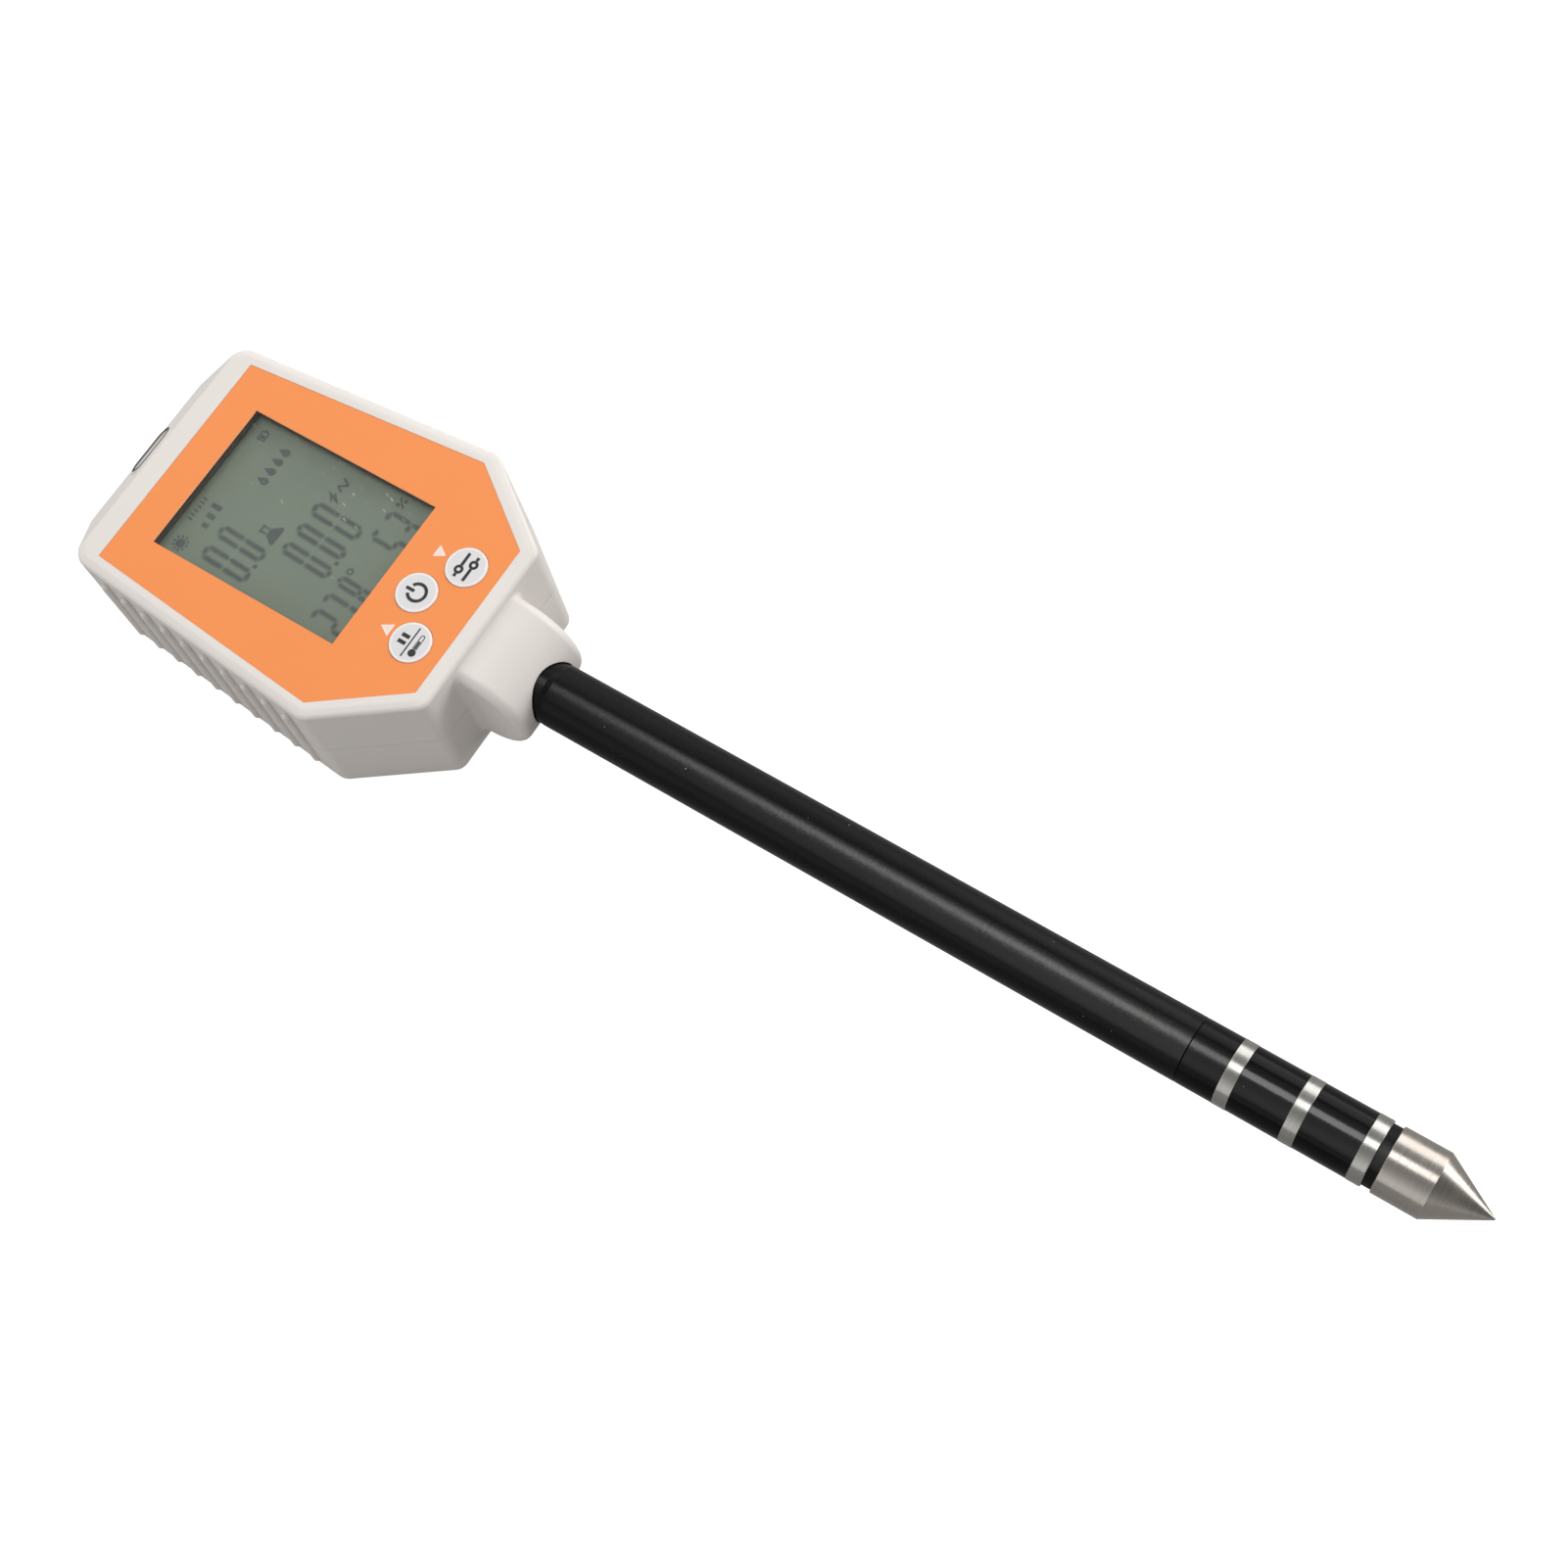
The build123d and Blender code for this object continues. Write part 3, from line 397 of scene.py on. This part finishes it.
collar_mat = satin_black("collar_black", lin(6, 6, 7), 0.22, 0.3, 0.5, 0.2, 0.28, 2600)
tip_mat = turned_steel("steel_tip", lin(173, 168, 162), 0.26, 0.16, 0.25, 14000, 0.25)
ink_black = ink("ink_black", lin(13, 13, 14), 0.42)
ink_white = ink("ink_white", shade(lin(246, 238, 236), 0.92), 0.45)
ink_pink = ink("ink_pink", shade(lin(250, 226, 214), 0.90), 0.45)
foil_ink = lcd_ink("display_ink", lin(66, 72, 102), 0.20)
glass_mat = clear_plate("display_glass", False)

slot_of = {p["node"]: p["material_slot"] for p in frame["record"]["subparts"]}
for name, obj in NODES.items():
    mat = mats[slot_of[name]]
    if name == "sensor_body":
        mat = collar_mat
    elif name == "tip_electrode":
        mat = tip_mat
    if not obj.material_slots:
        obj.data.materials.append(mat)
    for s in obj.material_slots:
        s.material = mat


# ---------------------------------------------------------------- flat shapes for print and display
class Flat:
    """Faces in a plane that share corners, so that the raised piece is one closed solid."""

    def __init__(self):
        self.v, self.f = [], []

    def poly(self, pts):
        b = len(self.v)
        area = sum(pts[i][0] * pts[(i + 1) % len(pts)][1] - pts[(i + 1) % len(pts)][0] * pts[i][1] for i in range(len(pts)))
        self.v += list(pts)
        ids = list(range(b, b + len(pts)))
        self.f.append(ids if area > 0 else ids[::-1])

    def strip(self, outer, inner, closed):
        b, n = len(self.v), len(outer)
        self.v += list(outer) + list(inner)
        for i in range(n if closed else n - 1):
            j = (i + 1) % n
            q = [b + i, b + j, b + n + j, b + n + i]
            p = [self.v[k] for k in q]
            area = sum(p[k][0] * p[(k + 1) % 4][1] - p[(k + 1) % 4][0] * p[k][1] for k in range(4))
            self.f.append(q if area > 0 else q[::-1])

    def ring(self, cx, cy, r0, r1, a0=0.0, a1=360.0, n=64):
        closed = abs(a1 - a0) >= 359.9
        steps = n if closed else n + 1
        ang = [math.radians(a0 + (a1 - a0) * i / n) for i in range(steps)]
        self.strip([(cx + r1 * math.cos(a), cy + r1 * math.sin(a)) for a in ang],
                   [(cx + r0 * math.cos(a), cy + r0 * math.sin(a)) for a in ang], closed)

    def disc(self, cx, cy, r, n=40):
        self.poly([(cx + r * math.cos(2 * math.pi * i / n), cy + r * math.sin(2 * math.pi * i / n)) for i in range(n)])

    def bar(self, x0, y0, x1, y1, w, round_ends=True):
        """Straight stroke of width w from one point to another."""
        a = math.atan2(y1 - y0, x1 - x0)
        h = w / 2
        if not round_ends:
            dx, dy = -math.sin(a) * h, math.cos(a) * h
            self.poly([(x0 - dx, y0 - dy), (x1 - dx, y1 - dy), (x1 + dx, y1 + dy), (x0 + dx, y0 + dy)])
            return
        pts = []
        for cx, cy, s in ((x1, y1, -90), (x0, y0, 90)):
            pts += [(cx + h * math.cos(a + math.radians(s + 180 * i / 10)), cy + h * math.sin(a + math.radians(s + 180 * i / 10)))
                    for i in range(11)]
        self.poly(pts)

    def raised(self, name, z0, z1, mat, body):
        n = len(self.v)
        open_edges = {}
        for f in self.f:
            for i in range(len(f)):
                open_edges[(f[i], f[(i + 1) % len(f)])] = True
        sides = [[a, b, b + n, a + n] for (a, b) in open_edges if (b, a) not in open_edges]
        verts = [at(x, y, z0) for x, y in self.v] + [at(x, y, z1) for x, y in self.v]
        faces = [f[::-1] for f in self.f] + [[i + n for i in f] for f in self.f] + sides
        return piece(name, verts, faces, mat, body)


def piece(name, verts, faces, mat, body, smooth=False, sharp=30.0):
    me = bpy.data.meshes.new(name)
    me.from_pydata([tuple(v) for v in verts], [], faces)
    me.validate()
    me.update()
    if smooth:
        me.shade_smooth()
        me.set_sharp_from_angle(angle=math.radians(sharp))
    me.materials.append(mat)
    ob = bpy.data.objects.new(name, me)
    scene.collection.objects.link(ob)
    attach(ob, body)
    return ob


def lathe(name, cx, cy, profile, mat, body, n=96):
    """Closed ring about a vertical axis from (radius, z) points."""
    verts, faces, k = [], [], len(profile)
    for i in range(n):
        a = 2 * math.pi * i / n
        verts += [at(cx + r * math.cos(a), cy + r * math.sin(a), z) for r, z in profile]
    for i in range(n):
        j = (i + 1) % n
        for p in range(k):
            q = (p + 1) % k
            faces.append([i * k + p, j * k + p, j * k + q, i * k + q])
    return piece(name, verts, faces, mat, body, True, 40)


# ---------------------------------------------------------------- keys: white rims and plain symbols
KEY_TOP, KEY_R, KEY_EDGE = 17.65, 5.0, 0.2
KEYS = {"power": (0.0, -8.3), "left": (-10.8, -14.6), "right": (10.8, -14.6)}
SKIN = 0.012
for key, (kx, ky) in KEYS.items():
    arc = [(KEY_R - KEY_EDGE + (KEY_EDGE + SKIN) * math.sin(math.radians(a)), KEY_TOP - KEY_EDGE + (KEY_EDGE + SKIN) * math.cos(math.radians(a)))
           for a in range(0, 91, 15)]
    inner_arc = [(KEY_R - KEY_EDGE + (KEY_EDGE - SKIN) * math.sin(math.radians(a)), KEY_TOP - KEY_EDGE + (KEY_EDGE - SKIN) * math.cos(math.radians(a)))
                 for a in range(90, -1, -15)]
    prof = [(4.42, KEY_TOP + SKIN)] + arc + [(KEY_R + SKIN, 17.0), (KEY_R - SKIN, 17.0)] + inner_arc + [(4.42, KEY_TOP - SKIN)]
    lathe(f"{key}_key_rim", kx, ky, prof, ink_white, f"{key}_key")

PRINT = (KEY_TOP - 0.01, KEY_TOP + 0.018)
kx, ky = KEYS["power"]
g = Flat()
g.ring(kx, ky - 0.15, 1.78, 2.58, 90 + 30, 90 + 330, 72)
g.bar(kx, ky + 0.6, kx, ky + 2.9, 0.8, False)
g.raised("power_symbol", *PRINT, ink_black, "power_key")

kx, ky = KEYS["left"]
g = Flat()
g.bar(kx - 3.9, ky, kx + 3.9, ky, 0.36, False)
for dx in (-0.85, 0.85):
    g.bar(kx + dx, ky + 0.8, kx + dx, ky + 2.9, 0.95, False)
# thermometer lying under the line
g.ring(kx - 2.0, ky - 1.85, 0.0001, 0.95, 0, 360, 40)
g.bar(kx - 1.0, ky - 1.85, kx + 1.2, ky - 1.85, 0.5, False)
g.strip([(kx - 1.05, ky - 1.28), (kx + 2.35, ky - 1.28), (kx + 2.75, ky - 1.5), (kx + 2.92, ky - 1.85), (kx + 2.75, ky - 2.2),
         (kx + 2.35, ky - 2.42), (kx - 1.05, ky - 2.42)],
        [(kx - 1.05, ky - 1.5), (kx + 2.3, ky - 1.5), (kx + 2.56, ky - 1.62), (kx + 2.68, ky - 1.85), (kx + 2.56, ky - 2.08),
         (kx + 2.3, ky - 2.2), (kx - 1.05, ky - 2.2)], False)
g.raised("left_symbol", *PRINT, ink_black, "left_key")

kx, ky = KEYS["right"]
g = Flat()
for dy, knob in ((1.25, -1.3), (-1.25, 1.2)):
    y = ky + dy
    g.ring(kx + knob, y, 0.45, 1.15, 0, 360, 40)
    g.bar(kx - 3.3, y, kx + knob - 1.17, y, 0.76, False)
    g.bar(kx + knob + 1.17, y, kx + 3.3, y, 0.76, False)
g.raised("right_symbol", *PRINT, ink_black, "right_key")

# ---------------------------------------------------------------- arrows printed on the label
LABEL_TOP = 17.45
for name, tip in (("arrow_up", [(-12.2, -8.8), (-8.9, -8.8), (-10.55, -5.95)]), ("arrow_down", [(9.35, -5.95), (12.55, -5.95), (10.9, -8.65)])):
    cx, cy = sum(p[0] for p in tip) / 3, sum(p[1] for p in tip) / 3
    core = [(cx + (x - cx) * 0.66, cy + (y - cy) * 0.66) for x, y in tip]
    g = Flat()
    g.strip(tip, core, True)
    g.raised(f"{name}_outline", LABEL_TOP - 0.01, LABEL_TOP + 0.016, ink_white, "root")
    g = Flat()
    g.poly(core)
    g.raised(f"{name}_fill", LABEL_TOP - 0.01, LABEL_TOP + 0.012, ink_pink, "root")

# ---------------------------------------------------------------- display: foil, segments, front glass
LCD = (-22.5, 22.5, -1.7, 57.4)


def slab(name, x0, x1, y0, y1, z0, z1, edge, mat):
    """Plate with broken edges all round."""
    verts, faces = [], []
    rows = [(z0, edge), (z0 + edge, 0.0), (z1 - edge, 0.0), (z1, edge)]
    for z, d in rows:
        verts += [at(x0 + d, y0 + d, z), at(x1 - d, y0 + d, z), at(x1 - d, y1 - d, z), at(x0 + d, y1 - d, z)]
    faces.append([3, 2, 1, 0])
    for r in range(3):
        for i in range(4):
            j = (i + 1) % 4
            faces.append([4 * r + i, 4 * r + j, 4 * r + 4 + j, 4 * r + 4 + i])
    faces.append([12, 13, 14, 15])
    return piece(name, verts, faces, mat, "root")


back = slab("display_foil", *LCD, 11.9, 14.4, 0.12, mats["display"])
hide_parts("lcd_panel")
front = slab("display_glass", LCD[0], LCD[1], LCD[2], LCD[3], 14.56, 14.7, 0.05, glass_mat)


SLANT = 0.045


class Segments:
    """Thin dark figures whose edges fade, from convex outlines."""

    def __init__(self):
        self.v, self.f, self.ink = [], [], []

    @staticmethod
    def offset(pts, d):
        n, out = len(pts), []
        lines = []
        for i in range(n):
            (x0, y0), (x1, y1) = pts[i], pts[(i + 1) % n]
            length = math.hypot(x1 - x0, y1 - y0)
            nx, ny = (y1 - y0) / length, -(x1 - x0) / length
            lines.append((nx, ny, nx * x0 + ny * y0 + d))
        for i in range(n):
            a, b = lines[i - 1], lines[i]
            det = a[0] * b[1] - a[1] * b[0]
            out.append(((a[2] * b[1] - a[1] * b[2]) / det, (a[0] * b[2] - a[2] * b[0]) / det))
        return out

    def shape(self, pts, fade=0.9, z=14.46, thick=0.02):
        n = len(pts)
        area = sum(pts[i][0] * pts[(i + 1) % n][1] - pts[(i + 1) % n][0] * pts[i][1] for i in range(n))
        if area < 0:
            pts = pts[::-1]
        inner, outer = self.offset(pts, -0.45 * fade), self.offset(pts, 0.55 * fade)
        b = len(self.v)
        for zz in (z, z + thick):
            self.v += [at(x, y, zz) for x, y in inner] + [at(x, y, zz) for x, y in outer]
            self.ink += [1.0] * n + [0.0] * n
        lo_i, lo_o, hi_i, hi_o = b, b + n, b + 2 * n, b + 3 * n
        self.f.append([lo_i + i for i in range(n)][::-1])
        self.f.append([hi_i + i for i in range(n)])
        for i in range(n):
            j = (i + 1) % n
            self.f.append([hi_i + i, hi_o + i, hi_o + j, hi_i + j])
            self.f.append([lo_i + j, lo_o + j, lo_o + i, lo_i + i])
            self.f.append([lo_o + i, lo_o + j, hi_o + j, hi_o + i])

    def digit(self, ch, x, y, w, h, t, gap=0.16):
        """Seven-segment figure with its lower left corner at x, y."""
        on = {"0": "abcdef", "1": "bc", "2": "abged", "3": "abgcd", "5": "afgcd", "7": "abc", "8": "abcdefg"}[ch]
        m, q = h / 2, t / 2

        def across(yc):
            return [(q + gap, yc), (t + gap, yc - q), (w - t - gap, yc - q), (w - q - gap, yc), (w - t - gap, yc + q), (t + gap, yc + q)]

        def down(xc, y0, y1):
            return [(xc, y0 + gap), (xc + q, y0 + q + gap), (xc + q, y1 - q - gap), (xc, y1 - gap), (xc - q, y1 - q - gap), (xc - q, y0 + q + gap)]

        parts = {"a": across(h - q), "g": across(m), "d": across(q), "f": down(q, m, h - q), "b": down(w - q, m, h - q),
                 "e": down(q, q, m), "c": down(w - q, q, m)}
        for s in on:
            self.shape([(x + px + SLANT * py, y + py) for px, py in parts[s]])

    def dot(self, x, y, r, n=10, fade=0.3):
        self.shape([(x + r * math.cos(2 * math.pi * i / n), y + r * math.sin(2 * math.pi * i / n)) for i in range(n)], fade)

    def box(self, x0, y0, x1, y1, fade=0.3):
        self.shape([(x0, y0), (x1, y0), (x1, y1), (x0, y1)], fade)

    def line(self, x0, y0, x1, y1, w, fade=0.26):
        a = math.atan2(y1 - y0, x1 - x0)
        dx, dy = -math.sin(a) * w / 2, math.cos(a) * w / 2
        self.shape([(x0 - dx, y0 - dy), (x1 - dx, y1 - dy), (x1 + dx, y1 + dy), (x0 + dx, y0 + dy)], fade)

    def make(self, name, mat):
        ob = piece(name, self.v, self.f, mat, "root")
        a = ob.data.attributes.new("ink", "FLOAT", "POINT")
        a.data.foreach_set("value", self.ink)
        return ob


def digits(name, text, spots, y0, y1, t, point=None):
    """A row of figures, each between its own left and right ends."""
    s = Segments()
    lean = SLANT * (y1 - y0)
    for ch, (x0, x1) in zip(text, spots):
        s.digit(ch, x0, y0, x1 - x0 - lean, y1 - y0, t)
    if point is not None:
        s.box(point - 0.42, y0 + 0.05, point + 0.42, y0 + 0.95, 0.5)
    return s.make(name, foil_ink)


digits("display_row_1", "00", [(-17.5, -13.05), (-11.4, -7.2)], 30.45, 44.5, 1.1, -12.5)
digits("display_row_2", "000", [(-7.1, -3.05), (-1.5, 2.55), (4.2, 8.75)], 13.9, 28.3, 1.1, -2.35)
digits("display_row_3a", "278", [(-17.5, -13.4), (-12.9, -8.95), (-7.5, -3.95)], -1.5, 11.6, 1.05, -8.25)
digits("display_row_3b", "53", [(6.1, 10.1), (11.2, 15.25)], -1.5, 11.6, 1.05)

s = Segments()
# sun: disc and rays
s.dot(-16.35, 50.6, 1.2, 14, 0.5)
for i in range(10):
    a = math.radians(36 * i + 18)
    s.line(-16.35 + 1.5 * math.cos(a), 50.6 + 1.5 * math.sin(a), -16.35 + 2.1 * math.cos(a), 50.6 + 2.1 * math.sin(a), 0.5, 0.3)
# level bars, rising, and a row of short rays over them
for cx, tall in ((-9.75, 1.7), (-7.2, 2.3), (-4.55, 2.9)):
    s.box(cx - 0.62, 47.45, cx + 0.62, 47.45 + tall, 0.45)
for i in range(6):
    s.line(-10.2 + 1.2 * i, 52.1, -10.0 + 1.2 * i, 53.3, 0.5, 0.4)
# battery outline
s.line(14.9, 51.85, 17.2, 51.85, 0.36)
s.line(14.9, 49.95, 17.2, 49.95, 0.36)
s.line(14.9, 49.95, 14.9, 51.85, 0.36)
s.line(17.2, 49.95, 17.2, 51.85, 0.36)
s.box(17.4, 50.5, 17.75, 51.3)
s.box(15.3, 50.35, 16.3, 51.45)
# drops
for i in range(4):
    cx = 6.5 + 2.85 * i
    s.shape([(cx + 0.98 * math.cos(math.radians(a)), 42.95 + 0.98 * math.sin(math.radians(a))) for a in range(150, 391, 24)]
            + [(cx, 45.25)], 0.4)
# flask
s.shape([(-6.0, 30.75), (-1.4, 30.75), (-1.1, 31.4), (-2.7, 33.7), (-4.7, 33.7), (-6.3, 31.4)], 0.4)
s.line(-4.4, 34.0, -4.4, 35.6, 0.5, 0.3)
s.line(-3.0, 34.0, -3.0, 35.6, 0.5, 0.3)
s.line(-4.9, 35.7, -2.5, 35.7, 0.5, 0.3)
# flash and a wave
s.shape([(10.2, 23.6), (12.5, 26.0), (10.8, 25.75)], 0.4)
s.shape([(12.1, 27.7), (9.9, 25.5), (11.6, 25.6)], 0.4)
for i, (x0, y0, x1, y1) in enumerate(((13.2, 24.9, 14.1, 26.6), (14.1, 26.6, 15.3, 24.4), (15.3, 24.4, 16.5, 26.4))):
    s.line(x0, y0, x1, y1, 0.6, 0.4)
# degree ring and percent
for i in range(8):
    a0, a1 = math.radians(45 * i), math.radians(45 * i + 45)
    s.line(-2.5 + 0.75 * math.cos(a0), 10.3 + 0.75 * math.sin(a0), -2.5 + 0.75 * math.cos(a1), 10.3 + 0.75 * math.sin(a1), 0.42, 0.3)
s.line(16.8, 9.2, 18.9, 11.4, 0.42, 0.3)
s.dot(17.05, 10.95, 0.5, 8, 0.3)
s.dot(18.6, 9.7, 0.5, 8, 0.3)
s.make("display_icons", foil_ink)

# ---------------------------------------------------------------- camera
f_px = 2458.767
R = ((0.541964, -0.830086, -0.131273), (-0.798213, -0.459568, -0.389428), (0.262929, 0.315840, -0.911654))
cam_data = bpy.data.cameras.new("camera")
cam = bpy.data.objects.new("camera", cam_data)
scene.collection.objects.link(cam)
scene.camera = cam
cam_data.sensor_fit = "HORIZONTAL"
cam_data.sensor_width = 36.0
cam_data.lens = 36.0 * f_px / 1601.0
cam_data.clip_start, cam_data.clip_end = 0.01, 20.0
cam_data.shift_x = -0.65 / 1601.0
ax, ay, az = Vector(R[0]).normalized(), -Vector(R[1]).normalized(), -Vector(R[2]).normalized()
place = at(-131.792, -267.622, 483.199)
cam.matrix_world = Matrix(((ax.x, ay.x, az.x, place.x), (ax.y, ay.y, az.y, place.y), (ax.z, ay.z, az.z, place.z), (0, 0, 0, 1)))

# ---------------------------------------------------------------- floor and light
# The floor is seen as clean white; what it throws back on the object is a duller grey.
m, t = new_mat("floor_white")
v = coords(t)
cloud = noise(t, v, 3, 2)
seen_floor = add(t, "ShaderNodeBsdfPrincipled", {"Base Color": blend(t, cloud, (0.30, 0.30, 0.30, 1), (0.34, 0.34, 0.34, 1)), "Roughness": 0.9,
                                                 "Specular IOR Level": 0.0, "Emission Color": (1, 1, 1, 1), "Emission Strength": 0.97})
dull_floor = add(t, "ShaderNodeBsdfDiffuse", {"Color": blend(t, cloud, (0.41, 0.405, 0.40, 1), (0.45, 0.445, 0.44, 1))})
lp = add(t, "ShaderNodeLightPath")
mixf = add(t, "ShaderNodeMixShader", {0: lp.outputs["Is Camera Ray"], 1: dull_floor.outputs[0], 2: seen_floor.outputs[0]})
fo = add(t, "ShaderNodeOutputMaterial")
t.links.new(mixf.outputs[0], fo.inputs[0])
size = 6.0
me = bpy.data.meshes.new("floor")
me.from_pydata([(-size, -size, -0.0002), (size, -size, -0.0002), (size, size, -0.0002), (-size, size, -0.0002)], [], [[0, 1, 2, 3]])
me.materials.append(m)
floor = bpy.data.objects.new("floor", me)
scene.collection.objects.link(floor)


def softbox(name, where, aim, sx, sy, power, colour=(1, 1, 1), spread=180):
    d = bpy.data.lights.new(name, "AREA")
    d.shape = "RECTANGLE"
    d.size, d.size_y = sx, sy
    d.energy = power
    d.color = colour
    d.spread = math.radians(spread)
    o = bpy.data.objects.new(name, d)
    scene.collection.objects.link(o)
    o.location = where
    o.rotation_euler = (Vector(aim) - Vector(where)).to_track_quat("-Z", "Y").to_euler()
    return o


softbox("overhead", (0.077, 0.17, 0.95), (0.077, 0.171, 0.0), 0.35, 0.80, 3.0, (1.0, 0.985, 0.97))
softbox("side_fill", (0.90, -0.18, 0.40), (0.0, -0.05, 0.0), 0.70, 0.62, 2.1, (1.0, 0.98, 0.96))
softbox("front_fill", (0.90, -0.70, 0.33), (0.0, -0.05, 0.02), 0.85, 0.66, 5.9, (1.0, 0.98, 0.96))
softbox("back_fill", (0.75, 0.85, 0.75), (0.0, 0.08, 0.0), 0.7, 0.7, 1.6, (1.0, 0.99, 0.98))

# tent: dim overhead, where the softbox hangs, brighter low down, dimmer towards the tip
world = bpy.data.worlds.new("studio")
scene.world = world
world.use_nodes = True
w = world.node_tree
w.nodes.clear()
wx, wy, wz = split(w, add(w, "ShaderNodeTexCoord").outputs["Generated"])
level = soft(w, wz, 0.25, 0.95, 1.12, 0.40)
level = calc(w, "MULTIPLY", level, soft(w, wy, 0.1, -0.7, 1.0, 0.78))
level = calc(w, "MULTIPLY", level, soft(w, wy, -0.70, -0.85, 1.0, 0.22))
lp = add(w, "ShaderNodeLightPath")
seen = add(w, "ShaderNodeBackground", {"Color": (1.0, 1.0, 1.0, 1), "Strength": 1.1})
lit = add(w, "ShaderNodeBackground", {"Color": (1.0, 0.99, 0.98, 1), "Strength": level})
mixw = add(w, "ShaderNodeMixShader", {0: lp.outputs["Is Camera Ray"], 1: lit.outputs[0], 2: seen.outputs[0]})
wo = add(w, "ShaderNodeOutputWorld")
w.links.new(mixw.outputs[0], wo.inputs[0])

scene.view_settings.view_transform = "Standard"
scene.view_settings.look = "None"
scene.view_settings.exposure = 0.0
scene.view_settings.gamma = 1.0
scene.cycles.transparent_max_bounces = 32
